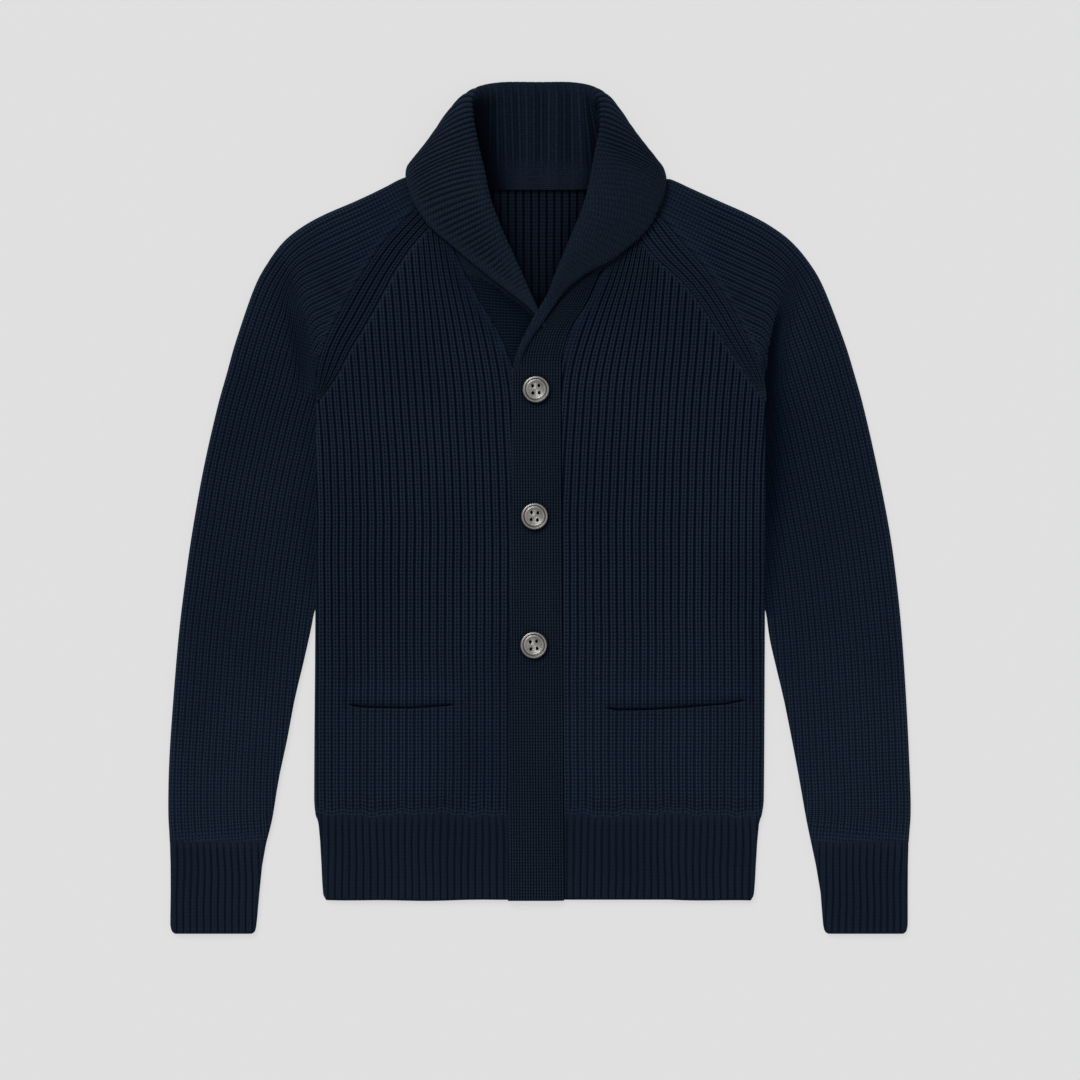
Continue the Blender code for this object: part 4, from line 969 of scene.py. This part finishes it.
def collar_sections(t):
    """Mid surface of the collar: t (columns, places) float station numbers.

    Stations run from the front end on the wearer's left (0) over the centre
    back to the front end on the right."""
    mirror = np.array([-1, 1, 1, -1, 1, 1, -1, 1, 1])
    form = np.array(COLLAR_FORM, float)
    table = np.vstack([np.array(COLLAR_L, float)[:0:-1], np.array(COLLAR_R, float)])
    forms = np.vstack([(form[:len(COLLAR_L)] * mirror)[:0:-1], form[:len(COLLAR_R)]])
    row, f = rows_at(table, t), rows_at(forms, t)
    seam = xyz(row[..., 0], row[..., 1], SEAM_Z)
    roll = xyz(row[..., 2], row[..., 3], row[..., 4])
    edge = xyz(row[..., 5], row[..., 6], row[..., 7])
    scale = np.array([SQ, SQ, MM])
    out, over, tuck = f[..., 0:3] * scale, f[..., 3:6] * scale, f[..., 6:9] * scale
    return seam, roll, edge, out, over, tuck


def bezier(a, b, c, d, t):
    t = t[..., None]
    return a * (1 - t) ** 3 + b * 3 * t * (1 - t) ** 2 + c * 3 * t * t * (1 - t) + d * t ** 3


def build_collar():
    last = len(COLLAR_L) + len(COLLAR_R) - 2
    centre = len(COLLAR_L) - 1
    # rib numbers along the roll line
    t = np.linspace(0, last, 2400)
    _, roll, _, _, _, _ = collar_sections(t)
    s = np.concatenate([[0], np.cumsum(np.linalg.norm(np.diff(roll, axis=0), axis=1))]) / SQ
    ax = np.abs(t - centre)
    wide = 7.6 - 1.2 * smooth(ax, 0.9, 2.2) - 1.55 * smooth(ax, 2.2, 4.0)
    wide = np.where(t < centre - 9.5, 4.0, wide)
    n = np.concatenate([[0], np.cumsum(np.diff(s) / ((wide[1:] + wide[:-1]) / 2))])
    tees = np.array([p[0] for p in RIDGE])
    u = np.concatenate([(np.arange(0, math.floor(n[-1]))[:, None] + tees).ravel(), [math.floor(n[-1]), n[-1]]])
    t0 = np.interp(u, n, t)
    # how many stations a rib has moved on where it reaches the free edge
    a0 = np.abs(t0 - centre)
    shift = np.interp(a0, [0, 3.5, 4.5, 5.5, 6.5, 7.5, 8.3, 9, 10, 11, 12, 16],
                      [0, 0, -.35, -.75, -.85, -.4, 0, .35, .45, .3, 0, 0]) * np.sign(t0 - centre)
    q1, q2 = np.linspace(0, 1, STAND_N + 1), np.linspace(0, 1, FALL_N + 1)[1:]
    q1 = 0.5 * q1 + 0.5 * (1 - (1 - q1) ** 1.6)      # closer rows near the roll
    q2 = 0.45 * q2 + 0.55 * q2 ** 1.5
    q2[-4:] = [0.955, 0.976, 0.991, 1.0]
    columns = []
    for q in q1:
        seam, roll, edge, out, over, tuck = collar_sections(t0)
        flat = out * np.array([1, 1, 0])
        start = seam + flat / np.linalg.norm(flat, axis=1)[:, None] * 2 * MM
        if q == 0:
            columns.append(seam)
        columns.append(bezier(start, start + out, roll - over * 0.8, roll, np.full(len(t0), q)))
    for q in q2:
        tt = np.clip(t0 + shift * smooth(q, 0.0, 1.0), 0, last)
        seam, roll, edge, out, over, tuck = collar_sections(tt)
        columns.append(bezier(roll, roll + over, edge + tuck, edge, np.full(len(t0), q)))
    mid = np.stack(columns, 1)                        # ribs by places
    rows = mid.shape[1]
    du = np.gradient(mid, axis=0)
    dv = np.gradient(mid, axis=1)
    normal = np.cross(dv, du)
    normal /= np.maximum(np.linalg.norm(normal, axis=-1), 1e-12)[..., None]
    k = np.argmin(np.abs(t0 - (centre + 8)))
    if normal[k, STAND_N + 20, 2] < 0:
        normal = -normal
    steps = np.linalg.norm(np.diff(mid, axis=1), axis=-1)
    v = np.concatenate([np.zeros((len(t0), 1)), np.cumsum(steps, axis=1)], 1) / SQ
    to_edge = v[:, -1:] - v
    fall = (np.arange(rows) > STAND_N + 1)[None, :] + 0 * v
    roll_v = v[:, STAND_N + 1][:, None]
    # strength of the ribs: strong on the right fall, soft on the lower left one
    right = (t0 > centre)[:, None]
    w = np.where(right, 1.0 - 0.22 * smooth(t0, centre + 4.5, centre + 7.0)[:, None],
                 0.10 + 0.90 * smooth(t0, centre - 7.2, centre - 5.2)[:, None])
    w = w + 0 * v
    border = 2.0 + 7.0 * smooth(np.abs(t0 - centre), 5.0, 7.5)[:, None]
    w = w * smooth(to_edge, border * 0.6, border + 4.5)
    w = w * (1 - 0.75 * (1 - smooth(np.abs(t0 - centre), 1.6, 3.0))[:, None])
    stand_w = 0.20 + 0.05 * np.sin(u * 2.1)[:, None] + 0 * v
    stand_w = stand_w * (0.15 + 0.85 * smooth(v, 14, 30))
    # softer ribs where the right fall comes near the roll lower down
    w = w * (1 - 0.55 * (1 - smooth(v - v[:, STAND_N + 1][:, None], 3, 22)) * smooth(np.abs(t0 - centre), 4.5, 7.0)[:, None])
    keep = smooth(v - roll_v, -14, 3)
    w = stand_w * (1 - keep) + w * keep
    # the stand has twice as many, finer ribs
    fine_rib = ridge(2 * u)[:, None] * (1 - keep) + ridge(u)[:, None] * keep
    w = np.where(np.abs(t0 - centre)[:, None] > 11.4, w * 0.2, w)
    depth = 1.6
    lump = 0.3 * np.sin(t0 * 2.1)[:, None] * np.sin(v * 0.09 + 1.0)
    thin = 0.35 * smooth(np.abs(t0 - centre), 9.5, 11.5)[:, None]
    face = 1.75 - depth * w * (1 - fine_rib) + 0.25 + lump * fall * (1 - 2 * thin) - thin
    face = np.where(np.abs(t0 - centre)[:, None] < 2.6, np.minimum(face, 1.8), face)
    taper = round_edge(to_edge * SQ / MM, 3.4)
    hidden = (1.55 - thin) * (0.1 + 0.9 * taper)
    face = np.maximum(face, 0.35) * (0.04 + 0.96 * taper)
    top = mid + normal * (face * MM)[..., None]
    low = mid - normal * (hidden * MM)[..., None]
    for grid in (top, low):
        grid[..., 2] = np.maximum(grid[..., 2], 0.00003)
    # painted shade where the stand runs up under the roll
    px, py = mid[..., 0] / SQ + MID, mid[..., 1] / SQ
    deep_r, _ = to_line(px, py, np.array([r[2:4] for r in COLLAR_R[3:10]], float))
    deep_l, _ = to_line(px, py, np.array([r[2:4] for r in COLLAR_L[3:10]], float))
    deep = 0.97 * np.exp(-(np.maximum(deep_r - 8, 0) / 15.0) ** 1.5) + 0.55 * np.exp(-(deep_l / 11.0) ** 1.5)
    low_down = smooth(py, 424, 396)
    # painted shade: the stand and the left fall darker than the right fall, lighter near the centre back
    tone_and_painted_shading = np.where(fall > 0, np.where(right, 0.86, 0.69) + 0.14 * smooth(np.abs(t0 - centre), 6, 2)[:, None],
                    (0.63 + 0.07 * np.sin(u * 1.7 + 0.8)[:, None] + 0.04 * np.sin(u * 6.3)[:, None] - 0.05 * smooth(v, 30, 5)) * (1 - np.clip(deep, 0, 0.95) * low_down))
    tone_and_painted_shading = tone_and_painted_shading * (1 - 0.5 * (1 - keep) * smooth(v - roll_v, -26, -2) * low_down * smooth(np.abs(t0 - centre)[:, None], 1.5, 3.0))
    tone_and_painted_shading = tone_and_painted_shading * (1 + 0.07 * wander(px, py, 2.5))
    # painted shade in the fine grooves of the stand, with lighter alternate ribs
    lines = (1 - keep) * (0.15 + 0.85 * smooth(v, 16, 34))
    tone_and_painted_shading = tone_and_painted_shading * (1 - lines * (0.62 * (1 - fine_rib) - 0.26 * np.cos(2 * math.pi * (u[:, None] - 0.25)) - 0.10 * np.sin(u * 1.9)[:, None]))
    pitch = np.where(np.arange(1, rows) > STAND_N + 1, 3.2, 1.9)
    course = np.concatenate([np.zeros((len(t0), 1)), np.cumsum(steps / SQ / pitch, axis=1)], 1)
    coords = np.stack([u[:, None] + 0 * v, course, np.where(keep < 0.5, w * 0.4, w), tone_and_painted_shading], -1)
    cloth = Cloth("collar_knit")
    cloth.slab(top, low, coords, rstep=len(RIDGE), cstep=3)
    obj = cloth.make(COLLAR_KNIT, sharp=65)
    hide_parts("collar")
    return obj


# ------------------------------------------------------------------- bands
def band_low(inward):
    """Underside of the upper band; inward is the distance from its inner edge."""
    return 7.05 + (3.6 - 7.05) * (1 - smooth(inward, 2.0, 12.0))


TURN_L = [(-27.4, 134), (-26, 142), (-21.5, 152), (-14.5, 163), (-6, 175), (3, 187), (13, 199), (25, 211), (38, 223), (50, 233)]
TURN_R = [(22.5, 134), (22.6, 142), (23.4, 152), (26, 163), (29.5, 175), (36, 187.5), (44.5, 200), (51.5, 213.5), (57, 227), (63, 239)]


def build_band(upper):
    """Fine bands; the upper one turns with the neckline up under the collar."""
    name = "buttonhole_band" if upper else "button_band"
    cloth = Cloth(name + "_knit")
    if upper:
        heights = np.concatenate([[-393, -392.6, -392, -391, -389.5, -387], np.arange(-383, 118, 5.0), [119, 124, 129, 134]])
        left = follow([(-393, -31), (-152, -30), (-12, -28.2), (108, -27.4), (134, -27.4)], 1, heights)
        right = follow(NECKLINE, 2, heights) - 0.4
        turn = np.linspace(0, len(TURN_L) - 1, 37)[1:]
        tl, tr = rows_at(TURN_L, turn), rows_at(TURN_R, turn)
        tr[:, 0] -= 0.4
        pl = np.vstack([np.stack([left, heights], -1), tl])
        pr = np.vstack([np.stack([right, heights], -1), tr])
        mid = (pl + pr) / 2
        along = heights[0] + np.concatenate([[0], np.cumsum(np.hypot(*np.diff(mid, axis=0).T))])
        width = np.hypot(*(pr - pl).T)
    else:
        heights = np.concatenate([[-392, -391.5, -390.5, -389, -386], np.arange(-380, 132, 8.0), [136]])
        left = follow(NECKLINE, 1, heights) + 0.4
        right = 9.5 + 0 * heights
        pl, pr = np.stack([left, heights], -1), np.stack([right, heights], -1)
        along, width = heights, right - left
    count = np.arange(len(along), dtype=float)
    # columns are counted from the inner edge of the upper band
    number = lambda r, d: (d - width[np.round(r).astype(int)]) / 2.76 + 0.05 * wander(d, r * 5, 7.0)
    d, u = ribbed(count, 0 * width, width, number, FINE)
    f = (d / width[:, None])[..., None]
    place = pl[:, None] * (1 - f) + pr[:, None] * f
    x, y = place[..., 0], place[..., 1]
    out, inn = d, width[:, None] - d
    end = round_edge(heights[:, None] - heights[0], 2.6)
    if upper:
        end = np.vstack([end, np.ones((36, 1))])
    w = 0.8 + 0 * x
    run = along[:, None]
    relief = 0.55 * (1 - fine(u)) + 0.10 * (1 - np.sin(run * 0.09 + x * 0.3))
    if upper:
        low = band_low(inn)
        drop = 1.0 * smooth(run, 150, 235)
        low = low - drop * smooth(inn, 0, 10)
        lift = 0.25 * np.sin(run * 0.035 + 1.0) * smooth(out, 0, 10)
        pull = 0 * x
        for bx, by in BUTTONS:
            pull = pull + 0.7 * np.exp(-((x - bx) ** 2 + (y - by) ** 2) / 17.0 ** 2)
        z = (3.05 - relief) * (0.05 + 0.95 * round_edge(out, 3.0)) * (0.93 + 0.07 * smooth(inn, 0, 3.5))
        z = z * (0.1 + 0.9 * end) + lift - 0.4 * pull * smooth(out, 0, 6)
    else:
        low = 3.6 + 0 * x
        z = (3.0 - relief * 0.8) * (0.1 + 0.9 * end) * (0.7 + 0.3 * smooth(out, 0, 3)) * (0.1 + 0.9 * round_edge(inn, 3))
    z = np.maximum(z, 0.08)
    # painted highlight along the band's outer edge
    band_painted_light_and_shade = 1 + 0.10 * np.exp(-(out / 2.5) ** 2)
    if upper:
        # shade round each button, and where the band runs in under the collar
        for bx, by in BUTTONS:
            r = np.hypot(x - bx - 0.6, y - by + 0.8)
            band_painted_light_and_shade = band_painted_light_and_shade * (1 - 0.60 * np.exp(-(np.maximum(r - 13.0, 0) / 2.6) ** 2))
        band_painted_light_and_shade = band_painted_light_and_shade * (1 - 0.20 * smooth(run, 130, 160)) * (1 - 0.28 * smooth(run, 172, 250))
    coords = np.stack([u, run / 3.1 + 0 * x, w, band_painted_light_and_shade], -1)
    cloth.slab(xyz(x, y, low + z), xyz(x, y, low), coords, cstep=len(FINE))
    if not upper:
        # above the first button the band widens into the neck, its rows lying across
        ends = np.arange(136, 266, 0.78)
        edge_l = follow(NECKLINE, 1, ends) + 0.4
        edge_r = follow([(136, 9.5), (150, 6), (165, 2), (180, 6), (194, 6), (203, -6), (218, -23), (228, -38),
                         (239, -53), (254, -70), (266, -76)], 1, ends)
        edge_r = np.maximum(edge_r, edge_l + 0.05)
        f = np.concatenate([np.linspace(0, 0.12, 5), np.linspace(0.2, 1, 14)])
        x = edge_l[:, None] + (edge_r - edge_l)[:, None] * f
        y = ends[:, None] - 3.0 * np.sin(f * 2.2) + 0.6 * np.sin(x * 0.16 + ends[:, None] * 0.07)
        y = np.maximum(y, 136)
        u = (ends[:, None] + 0.9 * np.sin(x * 0.11)) / 3.12
        out = x - edge_l[:, None]
        patch = np.clip(0.5 + 0.6 * wander(x * 2.4, y * 1.7, 4.0) + 0.25 * np.sin(x * 0.5 + y * 0.2), 0, 1)
        z = 3.2 - (0.15 + 0.40 * patch) * (1 - fine(u)) * smooth(out, 0, 6) + 0.3 * np.sin(y * 0.05 + x * 0.04)
        z = z * (0.55 + 0.45 * smooth(out, 0, 5))
        # painted shade where the band runs in under the collar
        shade = 0.50 - 0.26 * smooth(f, 0.15, 0.9)[None, :] + 0 * x
        shade = shade * (1 + 0.10 * wander(x * 1.6, y * 1.3, 1.0))
        coords = np.stack([u, x / 3.4, 0.15 + 0.55 * patch, shade], -1)
        cloth.slab(xyz(x, y, 3.6 + z), xyz(x, y, 3.6 + 0 * x), coords, rstep=4, cstep=3)
    obj = cloth.make(FINE_KNIT)
    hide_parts(name)
    return obj


# ----------------------------------------------------------------- pockets
def build_bag(side):
    name, x0, x1, slit, bend = POCKETS[side]
    cloth = Cloth("pocket_bag_%s_cloth" % name)
    for level in (0, 1):
        high = slit + (7.0 if level == 0 else -2.5)
        ys = np.concatenate([[BAG_LOW, BAG_LOW + .5, BAG_LOW + 1.5], np.arange(BAG_LOW + 4, high - 2, 6.0), [high - 1.2, high]])
        xs = np.concatenate([[0, .5, 1.5], np.arange(4, x1 - x0 + 2.4, 6.0), [x1 - x0 + 4.4, x1 - x0 + 5.6, x1 - x0 + 6.0]]) + x0 - 3.0
        x, y = np.meshgrid(xs, ys)
        edge = np.minimum(np.minimum(x - xs[0], xs[-1] - x), np.minimum(y - ys[0], ys[-1] - y))
        roll = round_edge(edge, 2.0)
        base = 3.52 if level == 0 else 4.75
        low = base + 0.35 * (1 - roll)
        z = (0.35 + 0.65 * roll) * 0.95 + 0.05 * np.sin(x * 0.4) * np.sin(y * 0.33)
        coords = np.stack([x / 3, y / 3, 0 * x], -1)
        cloth.slab(xyz(x, y, low + z), xyz(x, y, low), coords, rstep=2, cstep=2)
    obj = cloth.make(POCKETING)
    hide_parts("pocket_bag_" + name)
    return obj


# ----------------------------------------------------------------- buttons
def lathe(name, profile, segments, jitter=None):
    """Closed turned solid; coords hold radius in mm, wear and grime."""
    bm = bmesh.new()
    layer = bm.verts.layers.float_vector.new("knit")
    rings = []
    for r, z, wear, grime in profile:
        ring = []
        count = 1 if r < 1e-6 else segments
        for k in range(count):
            a = 2 * math.pi * k / segments
            v = bm.verts.new((r * MM * math.cos(a), r * MM * math.sin(a), z * MM))
            v[layer] = (r, wear, grime)
            ring.append(v)
        rings.append(ring)
    for one, two in zip(rings, rings[1:]):
        for k in range(segments):
            a, b = one[k % len(one)], one[(k + 1) % len(one)]
            c, d = two[(k + 1) % len(two)], two[k % len(two)]
            face = [v for i, v in enumerate((a, b, c, d)) if v not in (a, b, c, d)[:i]]
            if len(face) >= 3:
                bm.faces.new(face)
    bmesh.ops.recalc_face_normals(bm, faces=bm.faces[:])
    mesh = bpy.data.meshes.new(name)
    bm.to_mesh(mesh)
    bm.free()
    return mesh


def smooth_profile(points, steps):
    points = np.array(points, float)
    return dense(points, steps)


def build_buttons():
    face = [(12.68, 2.05, .6, 0), (12.55, 2.9, .9, 0), (12.15, 3.55, 1, 0), (11.6, 3.9, 1, 0), (11.05, 3.95, 1, 0),
            (10.75, 3.78, .85, 0), (10.45, 3.35, .4, .25), (10.2, 2.9, 0, .65), (9.95, 2.68, 0, .8), (9.65, 2.74, .1, .55),
            (9.3, 2.98, .5, .1), (8.8, 3.12, .75, 0), (8.2, 3.08, .6, 0), (7.6, 2.86, .35, .1), (6.8, 2.62, .3, .1),
            (5.8, 2.46, .35, 0), (4.7, 2.38, .4, 0), (3.6, 2.34, .45, 0), (2.4, 2.34, .5, 0), (1.2, 2.36, .5, 0), (0, 2.36, .3, 0)]
    under = [(0, 0, 0, .5), (4, 0, 0, .4), (8, 0.02, 0, .3), (10.2, 0.12, .2, .2), (11.6, 0.5, .4, 0), (12.35, 1.2, .5, 0)]
    profile = np.vstack([smooth_profile(under, 3)[:-1], smooth_profile(under[-1:] + face, 3)])
    profile[:, 0] = np.maximum(profile[:, 0], 0)
    profile[-1, 0] = 0
    rings = [tuple(p) for p in profile]
    mesh = lathe("button_face", rings, 96)
    blank = bpy.data.objects.new("button_blank", mesh)
    bpy.context.scene.collection.objects.link(blank)
    # one cutter for the four flared holes
    bm = bmesh.new()
    hole = [(0, -2), (1.3, -2), (1.3, 1.7), (1.36, 2.1), (1.5, 2.32), (1.75, 2.46), (2.2, 2.6), (2.2, 5.0), (0, 5.0)]
    for sx in (-1, 1):
        for sy in (-1, 1):
            rings = []
            for r, z in hole:
                count = 1 if r == 0 else 28
                rings.append([bm.verts.new(((sx * 2.95 + r * 0.92 * math.cos(2 * math.pi * k / 28)) * MM,
                                            (sy * 3.35 + r * 1.14 * math.sin(2 * math.pi * k / 28)) * MM, z * MM)) for k in range(count)])
            for one, two in zip(rings, rings[1:]):
                for k in range(28):
                    four = (one[k % len(one)], one[(k + 1) % len(one)], two[(k + 1) % len(two)], two[k % len(two)])
                    ring = [v for i, v in enumerate(four) if v not in four[:i]]
                    bm.faces.new(ring)
    bmesh.ops.recalc_face_normals(bm, faces=bm.faces[:])
    cut_mesh = bpy.data.meshes.new("holes")
    bm.to_mesh(cut_mesh)
    bm.free()
    cutter = bpy.data.objects.new("holes", cut_mesh)
    bpy.context.scene.collection.objects.link(cutter)
    boolean = blank.modifiers.new("holes", "BOOLEAN")
    boolean.operation = "DIFFERENCE"
    boolean.solver = "EXACT"
    boolean.object = cutter
    graph = bpy.context.evaluated_depsgraph_get()
    done = bpy.data.meshes.new_from_object(blank.evaluated_get(graph))
    bpy.data.objects.remove(blank, do_unlink=True)
    bpy.data.objects.remove(cutter, do_unlink=True)
    made = []
    for n, (bx, by) in enumerate(BUTTONS, 1):
        own = done.copy()
        own.name = "button_%d_metal" % n
        own.shade_smooth()
        own.set_sharp_from_angle(angle=math.radians(38))
        own.materials.clear()
        own.materials.append(METAL)
        obj = bpy.data.objects.new("button_%d_metal" % n, own)
        bpy.context.scene.collection.objects.link(obj)
        low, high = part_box("button_%d" % n)
        x, y, _ = xyz(bx, by, 0)
        obj.location = (x, y, low[2])
        obj.rotation_euler = (0, 0, math.radians((3, -4, 5)[n - 1]))
        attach(obj, "root")
        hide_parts("button_%d" % n)
        # sewing shank: a wound post of thread
        low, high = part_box("button_thread_%d" % n)
        tall = (high[2] - low[2]) / MM
        wound = [(0, 0, 0, 0), (1.1, 0, 0, 0)]
        for k in range(33):
            f = k / 32
            wound.append((1.32 + 0.14 * math.cos(f * 8 * 2 * math.pi), 0.05 + f * (tall - 0.1), 0, 0))
        wound += [(1.1, tall, 0, 0), (0, tall, 0, 0)]
        post = lathe("button_thread_%d_wound" % n, wound, 28)
        post.shade_smooth()
        post.set_sharp_from_angle(angle=math.radians(60))
        post.materials.append(THREAD)
        shank = bpy.data.objects.new("button_thread_%d_wound" % n, post)
        bpy.context.scene.collection.objects.link(shank)
        shank.location = (x, y, low[2])
        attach(shank, "root")
        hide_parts("button_thread_%d" % n)
        made.append(obj)
    return made


# ------------------------------------------------------------------- stage
def build_stage():
    bm = bmesh.new()
    size = 14.0
    corners = [bm.verts.new((x * size, y * size, -0.0002)) for x, y in ((-1, -1), (1, -1), (1, 1), (-1, 1))]
    bm.faces.new(corners)
    mesh = bpy.data.meshes.new("floor")
    bm.to_mesh(mesh)
    bm.free()
    floor = bpy.data.objects.new("floor", mesh)
    bpy.context.scene.collection.objects.link(floor)
    mat = bpy.data.materials.new("floor_paper")
    mat.use_nodes = True
    tree = mat.node_tree
    shader = tree.nodes["Principled BSDF"]
    shader.inputs["Base Color"].default_value = (0.14, 0.14, 0.14, 1)
    shader.inputs["Roughness"].default_value = 1.0
    shader.inputs["Specular IOR Level"].default_value = 0.0
    shader.inputs["Emission Color"].default_value = (1, 1, 1, 1)
    shader.inputs["Emission Strength"].default_value = FLOOR_GLOW
    mesh.materials.append(mat)

    world = bpy.data.worlds.new("studio")
    world.use_nodes = True
    background = world.node_tree.nodes["Background"]
    background.inputs["Color"].default_value = (1.0, 1.0, 1.0, 1)
    background.inputs["Strength"].default_value = WORLD
    bpy.context.scene.world = world
    for name, direction, power, spread in SUNS:
        data = bpy.data.lights.new(name, "SUN")
        data.energy = power
        data.angle = math.radians(spread)
        sun = bpy.data.objects.new(name, data)
        bpy.context.scene.collection.objects.link(sun)
        sun.rotation_euler = Vector(direction).to_track_quat("Z", "Y").to_euler()

    camera_data = bpy.data.cameras.new("camera")
    camera_data.sensor_fit = "HORIZONTAL"
    camera_data.sensor_width = 36.0
    distance = 6.0
    width = 1080 * SQ
    camera_data.lens = 36.0 * (distance - 0.007) / width
    camera_data.clip_end = 60.0
    camera = bpy.data.objects.new("camera", camera_data)
    bpy.context.scene.collection.objects.link(camera)
    # the middle of the 1080 x 1080 picture is chart place (1, -32)
    camera.location = ((1.0 - MID) * SQ, -32.0 * SQ, distance)
    camera.rotation_euler = (0, 0, 0)
    bpy.context.scene.camera = camera
    view = bpy.context.scene.view_settings
    view.view_transform = "Standard"
    view.look = "None"
    view.exposure = 0.0
    view.gamma = 1.0


WORLD = 0.36
SUNS = [("key", (-0.50, 0.80, 1.05), 2.0, 28.0), ("fill", (0.9, -0.1, 1.1), 0.40, 60.0)]
FLOOR_GLOW = 0.616

build_stage()
for side in (0, 1):
    build_front(side)
    build_sleeve(side)
    build_cuff(side)
    build_bag(side)
build_back()
build_hem("hem_front_right", 0)
build_hem("hem_front_left", 1)
build_hem("hem_back", 2)
build_collar()
build_band(False)
build_band(True)
build_buttons()
